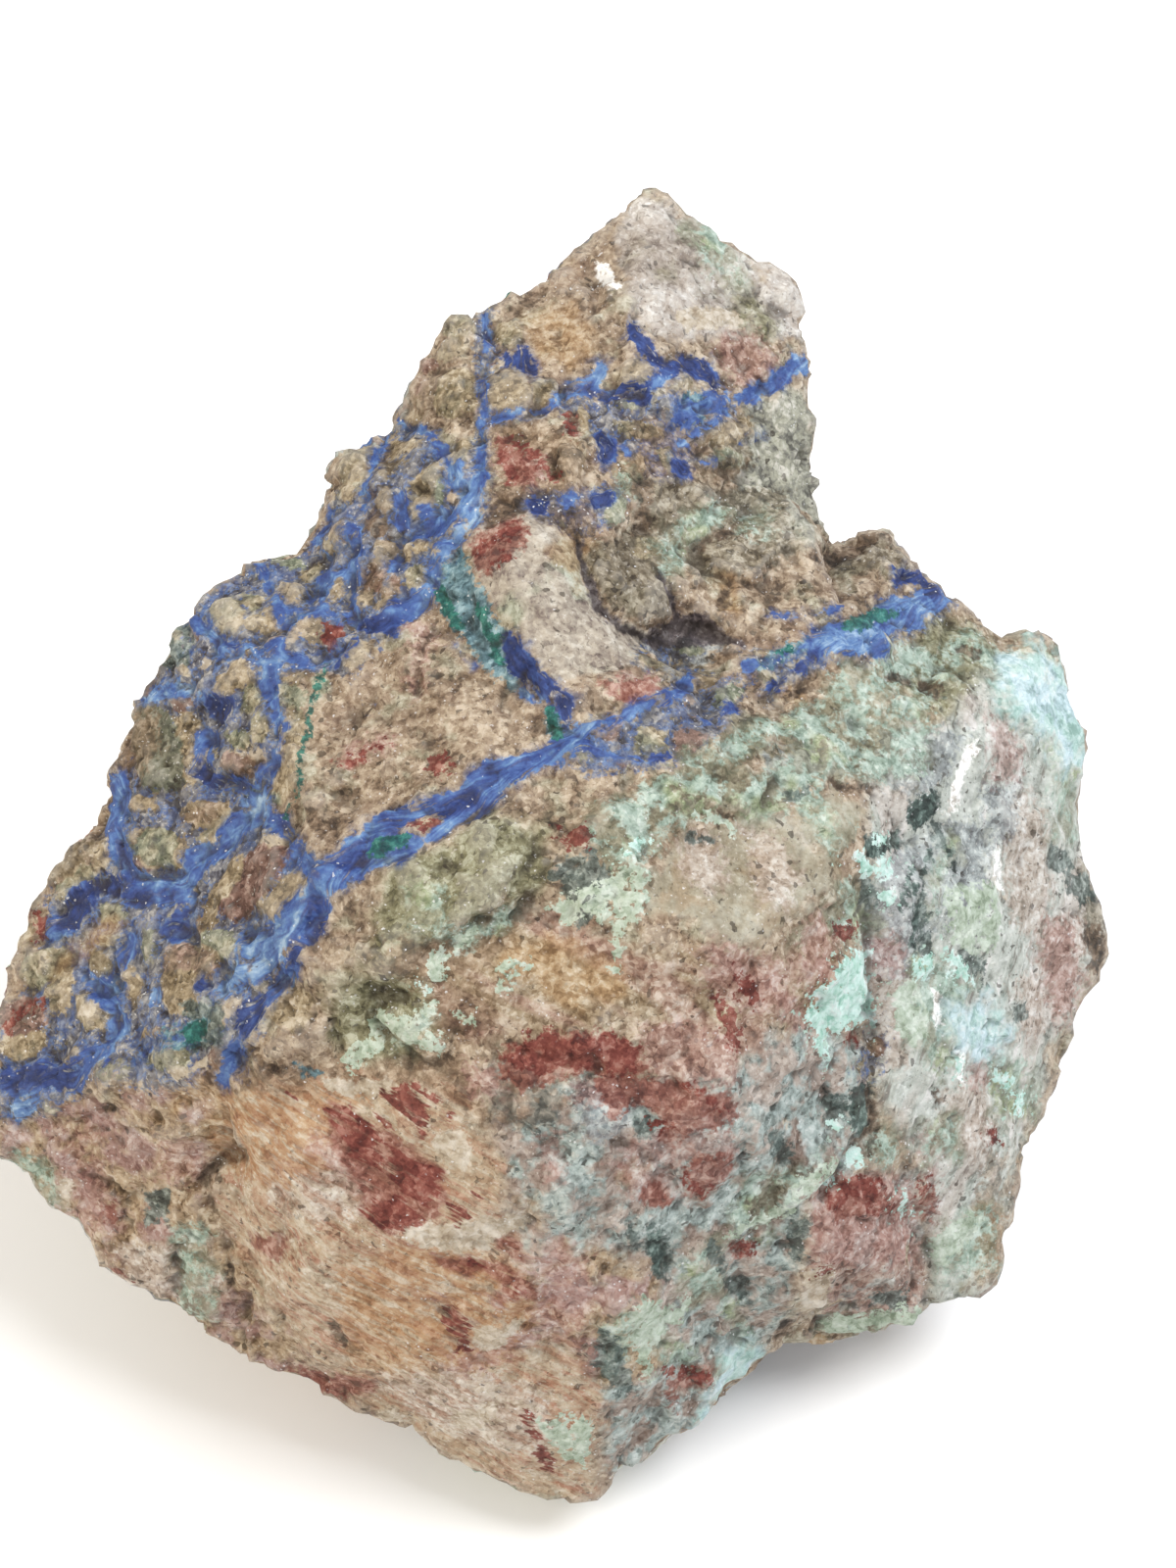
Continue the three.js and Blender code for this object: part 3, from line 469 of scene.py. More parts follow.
rust = marks(patches=[
        (255, 1256, 300, 1262, 285, 1285, 262, 1275), (296, 1392, 335, 1398, 385, 1402, 380, 1420, 340,
         1425, 310, 1415), (440, 1275, 480, 1280, 500, 1292, 480, 1300, 450, 1290), (500, 1255, 530, 1262,
         540, 1285, 520, 1280), (500, 1295, 545, 1312, 545, 1325, 515, 1318), (508, 455, 520, 450, 540, 468,
         548, 485, 545, 500, 520, 500, 512, 488), (478, 562, 490, 545, 505, 538, 520, 528, 535, 525, 542,
         535, 540, 548, 530, 560, 515, 574, 500, 590, 490, 582), (330, 1124, 360, 1130, 400, 1155, 450,
         1190, 458, 1215, 445, 1246, 400, 1262, 368, 1240, 368, 1210, 345, 1186, 338, 1155), (512, 1068,
         560, 1050, 625, 1054, 656, 1068, 662, 1092, 640, 1102, 600, 1096, 560, 1104, 530, 1112, 512, 1100),
        (606, 1098, 650, 1098, 682, 1104, 712, 1108, 738, 1112, 752, 1126, 744, 1142, 720, 1150, 700, 1152,
         686, 1172, 672, 1160, 674, 1142, 652, 1126, 640, 1130, 626, 1144, 614, 1126), (702, 1182, 728,
         1172, 748, 1178, 743, 1200, 722, 1212, 704, 1220, 698, 1204), (650, 1208, 672, 1206, 690, 1222,
         668, 1231, 652, 1224), (478, 1280, 500, 1284, 522, 1290, 545, 1310, 552, 1326, 528, 1318, 506,
         1304, 486, 1296), (505, 1255, 528, 1264, 522, 1278, 506, 1272), (1003, 1145, 1015, 1150, 1012,
         1172, 1003, 1165), (38, 930, 52, 935, 55, 960, 42, 962, 35, 945), (105, 1225, 122, 1225, 122, 1245,
         110, 1245), (115, 1290, 130, 1295, 125, 1312, 115, 1308), (310, 1395, 335, 1395, 335, 1412, 315,
         1415), (935, 1200, 950, 1205, 955, 1245, 940, 1240), (680, 1395, 725, 1390, 725, 1410, 690, 1415,
         685, 1435, 678, 1425), (740, 1265, 768, 1260, 765, 1275, 745, 1280), (862, 1050, 874, 1052, 870,
         1068, 860, 1065), (838, 1205, 860, 1200, 885, 1200, 905, 1220, 908, 1240, 880, 1240, 850, 1245,
         838, 1230), (502, 1322, 515, 1322, 512, 1332, 503, 1330), (365, 765, 390, 758, 400, 762, 385, 768),
        (340, 780, 355, 772, 372, 776, 365, 788, 350, 788), (605, 695, 640, 698, 662, 690, 668, 705, 655,
         725, 635, 722, 620, 710),
])
pink = marks([
        (1.44, 745, 360, 765, 355, 775, 370), (0.96, 635, 700, 655, 708), (1.28, 600, 1110, 650, 1120, 700,
         1110), (1.92, 660, 1170, 720, 1165), (1.28, 570, 1270, 580, 1310), (1.28, 555, 1340, 575, 1350),
        (1.6, 1075, 960, 1085, 1000), (1.12, 1020, 745, 1025, 775), (1.28, 175, 1170, 200, 1190), (1.12, 90,
         1230, 80, 1270), (0.8, 100, 1150, 70, 1180), (1.28, 330, 1170, 400, 1230), (1.44, 860, 1250, 890,
         1270, 900, 1240), (0.96, 820, 990, 845, 970, 850, 950), (1.12, 780, 1010, 820, 1040), (0.8, 940,
         1160, 950, 1200), (1.12, 520, 470, 550, 480), (0.8, 360, 770, 390, 760), (0.64, 415, 640, 440,
         650), (0.8, 430, 660, 425, 700), (0.96, 520, 1370, 470, 1390), (0.8, 310, 1400, 340, 1420),
], [
        (1004, 728, 1030, 738, 1040, 770, 1032, 796, 1012, 798, 1006, 760), (1062, 935, 1094, 945, 1098,
         1020, 1080, 1046, 1062, 1010), (884, 950, 918, 956, 922, 990, 892, 992), (652, 1048, 700, 1042,
         748, 1060, 752, 1104, 700, 1102, 664, 1084), (552, 1158, 574, 1156, 572, 1200, 558, 1204), (690,
         1158, 744, 1152, 756, 1180, 700, 1182), (650, 1050, 690, 1040, 720, 1060, 730, 1100, 690, 1110,
         660, 1090), (745, 345, 775, 345, 790, 380, 760, 400, 745, 385), (80, 1180, 110, 1180, 115, 1250,
         95, 1255, 75, 1220), (165, 1160, 195, 1155, 205, 1185, 190, 1210, 165, 1200), (1010, 730, 1030,
         740, 1035, 790, 1015, 790, 1005, 760), (820, 940, 850, 930, 845, 975, 835, 1000, 815, 985, 810,
         960), (560, 1280, 600, 1280, 600, 1350, 560, 1350), (720, 960, 800, 980, 790, 1030, 740, 1030, 715,
         1000), (620, 1180, 690, 1190, 700, 1225, 640, 1220), (820, 1195, 930, 1200, 930, 1290, 830, 1290),
        (980, 1050, 1010, 1060, 1010, 1110, 985, 1110), (475, 1085, 510, 1085, 520, 1120, 480, 1120),
])
ochre = marks([
        (1.28, 545, 330, 575, 330, 590, 350), (0.96, 555, 355, 580, 370), (0.8, 75, 978, 95, 962, 118, 946),
        (1.76, 370, 1330, 400, 1345, 430, 1360), (1.28, 370, 1380, 410, 1390), (1.28, 480, 1300, 520, 1300),
        (1.76, 225, 1130, 245, 1150, 260, 1170), (1.12, 1005, 1240, 1010, 1270), (1.92, 530, 980, 580, 990,
         620, 1000), (0.8, 735, 600, 745, 620), (0.64, 800, 700, 815, 715), (1.28, 500, 1350, 530, 1340),
        (1.12, 190, 1120, 215, 1110), (0.96, 640, 1200, 650, 1190),
], [
        (986, 1240, 1016, 1232, 1016, 1300, 986, 1312), (215, 1115, 262, 1110, 262, 1165, 225, 1180, 212,
         1150), (560, 950, 590, 960, 610, 1000, 590, 1030, 550, 1020, 545, 980), (122, 942, 125, 950, 112,
         965, 95, 972, 80, 985, 60, 995, 62, 985, 75, 970, 90, 960, 108, 950), (575, 545, 600, 560, 590,
         600, 560, 560),
])

# Other patches: cream calcite; white calcite that also stands for painted highlight; blush and lilac quartz;
# drab; slate-grey and green-black patches, partly dark rock and partly painted shade; umber and orange
# stains; brown spots in hollows, partly stain and partly painted shade; and painted shade in the crevice
# round the slab.
cream = marks([
        (0.6, 690, 325, 720, 322, 750, 332), (0.48, 228, 1032, 246, 1026), (0.48, 92, 1038, 108, 1024),
        (0.42, 425, 1260, 460, 1252, 500, 1262), (0.54, 490, 1362, 515, 1358, 530, 1350), (0.36, 318, 1295,
         345, 1310), (0.48, 445, 1165, 465, 1160), (0.18, 1012, 880, 1010, 900, 1020, 918), (0.6, 330, 1100,
         350, 1112, 380, 1108), (0.42, 180, 1095, 200, 1090, 212, 1085), (0.72, 70, 1210, 60, 1240), (0.6,
         230, 1400, 255, 1410), (0.84, 470, 1450, 500, 1440), (0.72, 395, 1440, 420, 1455),
], [
        (822, 1292, 846, 1284, 852, 1300, 838, 1338, 814, 1344), (790, 1140, 800, 1140, 800, 1150), (348,
         1105, 378, 1104, 402, 1098, 400, 1110, 380, 1120, 352, 1117), (404, 1252, 450, 1246, 500, 1240,
         545, 1236, 540, 1250, 500, 1262, 460, 1274, 420, 1268), (438, 1164, 470, 1150, 486, 1170, 476,
         1192, 452, 1186), (690, 325, 720, 315, 755, 320, 745, 335, 700, 338), (425, 1255, 460, 1250, 500,
         1262, 500, 1275, 450, 1270, 425, 1265), (485, 1352, 515, 1350, 520, 1365, 495, 1378, 483, 1370),
        (440, 1160, 465, 1150, 470, 1175, 450, 1180), (350, 1108, 385, 1105, 380, 1120, 355, 1118),
])
blush = marks(patches=[
        (120, 1270, 180, 1262, 228, 1300, 225, 1342, 170, 1330, 128, 1312), (1052, 930, 1090, 940, 1110,
         960, 1100, 1010, 1080, 1040, 1058, 1020, 1050, 970), (690, 850, 720, 845, 735, 870, 745, 905, 720,
         915, 695, 895), (755, 840, 790, 850, 815, 890, 800, 930, 775, 920, 765, 880), (1020, 810, 1045,
         805, 1065, 850, 1068, 920, 1060, 960, 1035, 950, 1022, 900), (880, 940, 905, 935, 920, 1000, 922,
         1085, 900, 1100, 885, 1050), (1030, 1000, 1060, 990, 1060, 1050, 1035, 1060), (960, 1110, 1000,
         1105, 1015, 1145, 985, 1180, 955, 1160), (380, 1400, 470, 1390, 560, 1420, 570, 1470, 520, 1480,
         440, 1450), (270, 1180, 330, 1175, 370, 1200, 380, 1240, 320, 1245, 275, 1225),
])
lilac = marks(patches=[
        (896, 746, 950, 742, 985, 748, 960, 800, 930, 812, 900, 800), (950, 842, 1006, 836, 1004, 920, 985,
         958, 962, 950, 952, 900), (1002, 802, 1034, 800, 1036, 850, 1008, 868), (905, 872, 950, 850, 956,
         930, 940, 990, 905, 1000, 880, 970, 872, 925), (655, 752, 700, 742, 690, 765, 660, 775), (650, 655,
         700, 645, 740, 655, 720, 680, 680, 690, 650, 680), (780, 770, 830, 765, 850, 790, 820, 805, 785,
         795), (590, 1105, 640, 1110, 650, 1150, 610, 1165, 585, 1140),
])
drab = marks(patches=[
        (668, 672, 720, 668, 730, 690, 700, 705, 668, 700), (1094, 880, 1120, 890, 1128, 980, 1104, 960,
         1096, 925), (880, 945, 925, 955, 930, 1000, 900, 1010, 884, 990), (640, 500, 690, 488, 740, 500,
         800, 505, 812, 560, 770, 590, 705, 592, 655, 560), (600, 555, 640, 545, 680, 560, 690, 600, 675,
         635, 640, 632, 615, 612, 602, 590), (840, 572, 870, 560, 900, 545, 925, 548, 932, 575, 900, 582,
         860, 588), (700, 430, 760, 425, 770, 470, 720, 490, 690, 470),
])
# White streaks and facets: partly white calcite, and on the right face's long streak and the peak's small
# facet a painted highlight.
white = marks(patches=[
        (989, 759, 995, 756, 993, 767, 987, 776, 983, 788, 981, 800, 978, 813, 973, 825, 966, 835, 963, 834,
         966, 820, 969, 806, 973, 791, 978, 775, 983, 765), (968, 1062, 978, 1066, 980, 1104, 970, 1100),
        (950, 1008, 959, 1012, 962, 1048, 953, 1050), (1010, 868, 1018, 866, 1016, 896, 1022, 914, 1012,
         908), (605, 265, 622, 275, 635, 300, 625, 302, 608, 285),
])
# Painted shade: dark colour in the crevice round the slab and in the pit under the upper block, which is also
# cut into the relief.
crevice_shade = marks([
    (0.35, 590, 548, 596, 575, 602, 600, 614, 622, 632, 640, 655, 650, 668, 655),
    (0.7, 668, 655, 690, 650, 712, 646), (0.35, 712, 646, 735, 652, 760, 660),
    (0.3, 668, 588, 682, 606, 690, 630), (0.4, 604, 592, 610, 622),
], [
        (658, 645, 690, 631, 715, 626, 736, 640, 750, 652, 720, 660, 690, 662),
])
# Slate-grey patches: partly slaty rock, partly painted shade beside the crease and in recesses of the right
# face.
slate_and_shade = marks([
        (0.8, 180, 665, 186, 672), (0.48, 192, 645, 196, 655), (0.48, 565, 895, 585, 880, 605, 870), (0.56,
         590, 900, 610, 905), (0.4, 700, 855, 725, 860), (0.4, 800, 812, 825, 808), (0.48, 890, 1320, 910,
         1318), (0.64, 720, 1270, 735, 1290), (0.8, 790, 1160, 800, 1180), (0.48, 640, 1250, 648, 1268),
        (0.56, 655, 1140, 665, 1148),
], [
        (190, 1025, 232, 1022, 236, 1068, 196, 1074), (924, 824, 936, 814, 952, 808, 956, 818, 950, 836,
         938, 845, 926, 840), (880, 852, 892, 850, 896, 862, 904, 868, 892, 880, 884, 872), (904, 846, 914,
         850, 924, 862, 912, 872, 904, 862), (930, 906, 941, 912, 946, 930, 940, 950, 930, 944, 928, 925),
        (950, 836, 960, 838, 962, 866, 955, 872, 950, 858), (872, 896, 888, 898, 896, 915, 886, 930, 874,
         920), (932, 952, 946, 950, 950, 978, 936, 978), (976, 966, 996, 968, 998, 990, 986, 1000, 976,
         985), (1066, 862, 1080, 866, 1092, 884, 1082, 894, 1070, 886), (1080, 890, 1108, 892, 1114, 918,
         1096, 926, 1082, 912), (1026, 1018, 1044, 1022, 1046, 1042, 1030, 1044), (842, 1112, 862, 1118,
         864, 1142, 846, 1152, 838, 1134), (879, 1106, 891, 1104, 889, 1124, 880, 1124), (655, 1244, 672,
         1246, 684, 1280, 680, 1304, 664, 1300, 654, 1270), (736, 1300, 762, 1302, 764, 1322, 744, 1322),
        (802, 1236, 824, 1240, 822, 1284, 808, 1284), (610, 1350, 630, 1362, 640, 1396, 650, 1420, 630,
         1420, 606, 1390), (1000, 960, 1006, 990, 1002, 1010), (900, 1320, 925, 1315, 925, 1340, 905, 1335),
        (170, 658, 194, 658, 192, 682, 172, 684), (188, 640, 200, 640, 200, 655, 188, 655), (150, 1215, 175,
         1210, 175, 1240, 150, 1248), (645, 1135, 660, 1135, 660, 1160, 645, 1160), (575, 888, 610, 875,
         635, 900, 620, 930, 590, 950, 575, 920),
])
# Green-black patches: partly dark rock, partly painted shade in the recesses and cracks of the right face and
# the front.
pitch_and_shade = marks([
    (0.3, 926, 888, 920, 908, 914, 930), (0.25, 966, 870, 969, 892),
    (0.3, 930, 908, 934, 935, 930, 962), (0.25, 945, 872, 936, 902),
], [
        (923, 830, 930, 822, 938, 812, 948, 808, 951, 815, 950, 832, 945, 838, 938, 848, 928, 846, 923,
         838), (878, 862, 884, 856, 892, 852, 900, 850, 904, 862, 900, 872, 890, 878, 882, 872), (900, 853,
         912, 852, 914, 866, 904, 872, 898, 866), (862, 1108, 884, 1104, 888, 1130, 880, 1156, 866, 1150),
        (656, 1250, 670, 1250, 680, 1280, 674, 1298, 662, 1290),
])
umber = marks(patches=[
        (620, 455, 700, 470, 760, 470, 740, 500, 690, 492, 640, 498, 612, 480), (432, 1010, 460, 995, 500,
         1000, 520, 1020, 505, 1048, 470, 1062, 440, 1055), (330, 1098, 380, 1088, 450, 1076, 512, 1088,
         560, 1102, 585, 1125, 560, 1150, 515, 1150, 470, 1132, 430, 1112, 380, 1114, 335, 1120), (395, 965,
         440, 955, 500, 945, 520, 960, 500, 985, 450, 1000, 420, 1010, 400, 990), (500, 432, 545, 440, 590,
         450, 600, 480, 575, 505, 545, 512, 512, 505, 500, 480), (545, 505, 600, 500, 612, 540, 582, 545,
         552, 530), (200, 1085, 260, 1080, 330, 1098, 320, 1120, 250, 1115, 205, 1110), (122, 735, 165, 725,
         172, 770, 150, 800, 125, 780), (1000, 1170, 1022, 1172, 1018, 1300, 1000, 1310, 994, 1250), (640,
         430, 700, 430, 720, 450, 700, 470, 650, 468), (560, 455, 600, 462, 600, 520, 570, 520),
])
# Dark brown spots in the hollows: partly brown stain, partly painted shade in pits and the pocket under the
# upper block.
brown = marks([
        (0.63, 520, 325, 535, 312, 552, 300), (0.72, 832, 568, 850, 572, 870, 562, 888, 552), (0.54, 905,
         548, 916, 556), (0.9, 1112, 955, 1122, 965, 1118, 985), (0.63, 378, 540, 384, 528), (0.54, 376,
         600, 380, 585), (0.45, 474, 428, 480, 425), (0.45, 392, 470, 400, 458), (0.45, 376, 513, 384, 505),
        (0.45, 714, 560, 722, 552), (0.45, 740, 605, 736, 620), (0.54, 815, 700, 805, 712), (0.54, 910, 690,
         925, 695), (0.45, 942, 700, 955, 712), (0.45, 980, 665, 995, 670), (0.45, 848, 800, 870, 808, 888,
         806), (0.54, 214, 1190, 222, 1188), (0.36, 206, 1205, 210, 1195), (0.45, 280, 1092, 288, 1084),
        (0.32, 425, 708, 427, 670, 436, 650), (0.32, 563, 840, 570, 850), (0.32, 884, 1110, 887, 1130),
        (0.36, 868, 1170, 880, 1150), (0.36, 950, 1110, 955, 1125), (0.63, 792, 1355, 800, 1345), (0.45,
         112, 1130, 122, 1128), (0.54, 320, 830, 330, 850), (0.36, 340, 1350, 350, 1370), (0.27, 232, 1290,
         240, 1310),
], [
        (502, 498, 558, 500, 552, 518, 530, 524, 505, 540, 492, 545, 498, 520), (645, 485, 662, 492, 668,
         512, 656, 522, 644, 505), (650, 522, 668, 530, 660, 546, 648, 540), (722, 542, 745, 538, 750, 552,
         730, 556), (704, 452, 725, 454, 722, 468, 704, 466), (562, 468, 574, 466, 574, 492, 564, 494),
        (578, 420, 589, 420, 587, 446, 580, 450), (886, 1124, 894, 1124, 896, 1150, 886, 1176, 878, 1176,
         884, 1150), (792, 1346, 806, 1340, 808, 1356, 794, 1361), (1112, 940, 1125, 945, 1126, 985, 1113,
         985), (207, 1186, 222, 1184, 222, 1198, 208, 1202), (388, 538, 398, 538, 398, 552, 388, 552), (371,
         585, 379, 585, 379, 600, 371, 600), (660, 632, 700, 634, 760, 650, 758, 656, 700, 648, 660, 642),
        (735, 600, 746, 600, 745, 622, 735, 622), (330, 837, 345, 835, 345, 868, 332, 870), (476, 425, 485,
         425, 485, 436, 476, 436),
])
orange = marks(patches=[
        (345, 1330, 400, 1320, 440, 1350, 470, 1385, 430, 1395, 380, 1380, 350, 1360), (455, 1300, 500,
         1302, 522, 1335, 490, 1345, 462, 1332), (235, 1120, 330, 1100, 385, 1112, 345, 1132, 335, 1190,
         300, 1212, 250, 1200, 215, 1180), (380, 1270, 440, 1262, 520, 1290, 545, 1330, 530, 1385, 470,
         1395, 400, 1370, 344, 1330, 350, 1290), (995, 1232, 1014, 1228, 1014, 1282, 998, 1282),
])

# Kinds of ground: the net of blue-grey rock between the pieces, then the broken faces.
net = marks(patches=[
        (345, 505, 380, 520, 372, 540, 372, 570, 362, 640, 400, 650, 360, 690, 300, 690, 296, 760, 285, 800,
         270, 830, 330, 880, 330, 925, 290, 970, 250, 1100, 160, 1110, 100, 1095, 60, 1130, 0, 1140, 0,
         1040, 60, 985, 40, 960, 60, 905, 105, 900, 110, 800, 140, 790, 145, 710, 150, 660, 190, 625, 260,
         570, 325, 560), (400, 425, 430, 440, 450, 455, 465, 480, 462, 520, 475, 545, 470, 575, 440, 600,
         410, 640, 370, 640, 362, 560, 375, 500, 385, 440), (485, 318, 505, 318, 505, 450, 500, 520, 480,
         545, 465, 500, 485, 460, 487, 400), (560, 410, 640, 410, 720, 400, 760, 410, 720, 440, 700, 490,
         640, 500, 610, 480, 600, 440), (540, 500, 640, 500, 620, 540, 590, 545, 560, 530), (640, 725, 700,
         690, 760, 700, 740, 745, 680, 785, 600, 790, 570, 770, 600, 740), (650, 660, 700, 645, 720, 665,
         690, 685, 650, 685), (760, 670, 830, 655, 860, 640, 950, 600, 970, 620, 900, 670, 840, 680, 780,
         715),
])
olive = marks(patches=[
        (1000, 1168, 1024, 1170, 1022, 1228, 1002, 1232), (952, 1294, 1008, 1288, 1008, 1330, 952, 1336),
        (395, 880, 440, 865, 500, 830, 560, 850, 540, 890, 500, 930, 440, 960, 400, 990, 380, 960), (520,
         870, 560, 880, 545, 910, 510, 930), (940, 620, 1015, 650, 1010, 740, 960, 740, 900, 700, 930, 660),
        (330, 1000, 400, 990, 450, 1000, 460, 1050, 400, 1090, 340, 1060),
])
quartz = marks(patches=[
        (680, 870, 720, 850, 760, 835, 800, 845, 850, 870, 845, 900, 800, 940, 770, 970, 720, 950, 690, 930,
         660, 930, 670, 900), (800, 830, 850, 810, 880, 830, 870, 860, 820, 865),
])
slab = marks(patches=[
        (478, 550, 533, 518, 560, 530, 575, 545, 593, 570, 598, 600, 615, 625, 640, 640, 665, 650, 665, 665,
         640, 680, 600, 690, 575, 700, 555, 680, 535, 650, 510, 620, 490, 590),
])
pale = marks(patches=[
        (640, 205, 680, 205, 700, 225, 720, 225, 790, 260, 815, 300, 825, 340, 790, 345, 740, 345, 690, 350,
         650, 330, 640, 300, 630, 260),
])
grey = marks(patches=[
        (770, 400, 825, 395, 832, 500, 828, 560, 780, 560, 745, 520, 740, 470, 760, 430),
])
striated = marks(patches=[
        (235, 1110, 330, 1095, 400, 1100, 470, 1110, 500, 1160, 520, 1250, 560, 1300, 600, 1370, 610, 1450,
         600, 1530, 560, 1530, 480, 1500, 400, 1440, 300, 1360, 230, 1260, 205, 1190),
])
front = marks(patches=[
        (500, 1090, 640, 1110, 740, 1100, 800, 1050, 870, 1050, 890, 1150, 860, 1200, 820, 1240, 815, 1320,
         780, 1370, 720, 1440, 640, 1510, 610, 1500, 605, 1400, 560, 1300, 520, 1250, 500, 1160),
])
foot = marks(patches=[
        (820, 1200, 930, 1190, 945, 1240, 945, 1330, 900, 1360, 830, 1355),
])
crystal = marks(patches=[
        (0, 1150, 60, 1130, 150, 1110, 230, 1110, 205, 1190, 230, 1260, 300, 1360, 330, 1430, 250, 1390,
         150, 1320, 60, 1240, 0, 1180),
])
fibre = marks(patches=[
        (880, 800, 960, 740, 1010, 680, 1100, 690, 1115, 900, 1125, 980, 1080, 1050, 1050, 1130, 1030, 1200,
         1015, 1320, 950, 1330, 945, 1200, 890, 1100, 885, 950),
])
block = marks(patches=[
        (535, 322, 560, 312, 600, 316, 622, 340, 620, 392, 590, 398, 548, 392, 538, 360), (292, 836, 300,
         790, 320, 720, 360, 690, 400, 655, 440, 645, 470, 660, 520, 700, 555, 745, 545, 762, 500, 772, 470,
         796, 400, 820, 325, 878),
])
glassy = marks(patches=[
        (440, 970, 560, 930, 640, 960, 720, 960, 800, 980, 860, 940, 870, 1000, 830, 1060, 760, 1090, 660,
         1040, 520, 1050, 480, 1060, 440, 1040),
])

# Sides that the show view doesn't reach carry the same minerals: veins as warped sheets through the rock,
# the rest as patches.
sheets = np.minimum(np.abs(waves(19, 3)) * 14,
                    np.abs(waves(15, 31)) * 12 + 3 * step(-0.1, 0.2, waves(30, 37)))
hidden_veins = sheets - 0.7 * step(-0.2, 0.3, waves(22, 11)) + 2.0 * step(-0.05, 0.2, -waves(26, 5)) + 0.2
off_hidden_side = OFF_VIEW * step(-0.2, 0.0, facing)
azurite = np.minimum(azurite, hidden_veins + off_hidden_side)
strand = np.minimum(strand, sheets + off_hidden_side)
greener = waves(38, 201)
for mineral, size, shift, rarity in (
    (malachite, 8, 41, 0.66), (teal, 9, 47, 0.62), (mint, 11, 53, 0.58 - 0.3 * greener),
    (brown, 8, 127, 0.52), (turquoise, 13, 57, 0.62 - 0.3 * greener), (wash, 24, 61, 0.30 - 0.3 * greener),
    (sage, 11, 151, 0.50), (hematite, 11, 71, 0.64 + 0.2 * greener), (rust, 20, 77, 0.36 + 0.2 * greener),
    (pink, 24, 83, 0.22), (ochre, 22, 97, 0.24), (orange, 16, 173, 0.38), (cream, 12, 103, 0.44),
    (slate_and_shade, 11, 113, 0.50), (net, 26, 27, 0.12), (front, 30, 7, 0.05), (crystal, 34, 17, 0.05),
    (olive, 28, 131, 0.2), (fibre, 30, 137, 0.25), (quartz, 18, 149, 0.4), (blush, 18, 157, 0.3),
    (lilac, 15, 163, 0.38), (drab, 20, 167, 0.32), (striated, 33, 179, 0.3), (pitch_and_shade, 7, 191, 0.6),
    (umber, 17, 197, 0.3),
):
    height = waves(size, shift) + 0.25 * waves(size / 4, shift + 0.5)
    mineral[:] = np.minimum(mineral, (rarity - height) * size * 0.55 + off_hidden_side)

# Small rock pieces fill what is left of the net, and chips break every face: both are cells round seeds.
chips, cells, cell_red, cell_light = np.zeros((4, count))
PIECE_SIZE = 3.4
for size, tilt in ((5.0, 0.13), (PIECE_SIZE, 0.10), (1.9, 0.15)):
    for k, spot in enumerate(skin):
        p = Vector(spot) / size
        away, seeds = noise.voronoi(p)
        lean_to = noise.cell_vector(seeds[0] * 9.0) - Vector((0.5, 0.5, 0.5))
        chips[k] += (p - seeds[0]).dot(lean_to) * size * tilt * 2
        if size == PIECE_SIZE:
            cells[k] = 0.35 - (away[1] - away[0]) * size * 0.62
            cell_red[k], cell_light[k] = 0.5 + lean_to.x * 0.8, lean_to.y
cells = np.maximum(cells, net) + 3 * step(1.2, 0.2, piece)
piece_red = np.where(cells < piece, cell_red, piece_red)
piece_light = np.where(cells < piece, cell_light, piece_light)
piece = np.minimum(piece, cells)

# The small relief, in millimetres along the skin's normal.
broken_ground = step(0, 2, np.minimum.reduce([striated, crystal, fibre, quartz, glassy, slab]))
relief = 0.20 * np.abs(waves(3.6, 2)) - 0.14 * np.abs(waves(2.1, 4)) + 0.10 * waves(1.1, 9, 1) + 0.34
relief += chips * (0.55 + 0.45 * broken_ground + 0.5 * step(0.5, -1.5, crystal))
relief *= 1 - 0.5 * step(1.0, -1.5, np.minimum.reduce([block, striated, quartz, slab]))
for rise, outer, inner, mineral in (
    (0.30, 0.35, -0.45, piece),  # rock pieces stand proud of what holds them
    (-0.30, 0.3, -0.4, brown), (0.10, 0.3, -0.3, malachite), (-0.12, 0.3, -0.4, slate_and_shade),
    (0.16, 0.25, -0.1, np.minimum.reduce([mint, sage, turquoise])), (-0.50, 0.4, -0.5, crevice_shade),
):
    relief += rise * step(outer, inner, mineral)
relief -= 0.22 * step(0.35, -0.4, azurite) * step(0.0, 0.6, piece)
grooves = marks([
    (0.1, 420, 984, 476, 952, 509, 926, 549, 868, 589, 886), (0.1, 883, 938, 884, 1028, 890, 1091, 885, 1150),
    (0.2, 206, 1205, 216, 1192, 230, 1180), (0.1, 212, 1210, 222, 1250, 240, 1310),
    (0.1, 945, 1325, 948, 1290, 944, 1262), (0.1, 345, 880, 395, 880, 440, 862, 500, 828, 560, 790),
])
GROOVE = 0.4  # how deep and how wide, in millimetres
relief -= GROOVE * np.exp(-(np.maximum(grooves, 0) / GROOVE) ** 2)
fibre_run = 1.0 * sheet_up + np.array([0.35, 0, 0])
slick_run = np.array([0.86, 0, 0]) - 0.5 * sheet_up
for run, where, amount in ((fibre_run, fibre, 0.06), (slick_run, striated, 0.14)):
    run = run / np.linalg.norm(run)
    squeezed = skin - 0.86 * (skin @ run)[:, None] * run  # noise is drawn out along the run
    streaks = np.array([noise.noise(Vector(p) / 1.15) for p in squeezed])
    relief += amount * streaks * step(1.0, -1.5, where)

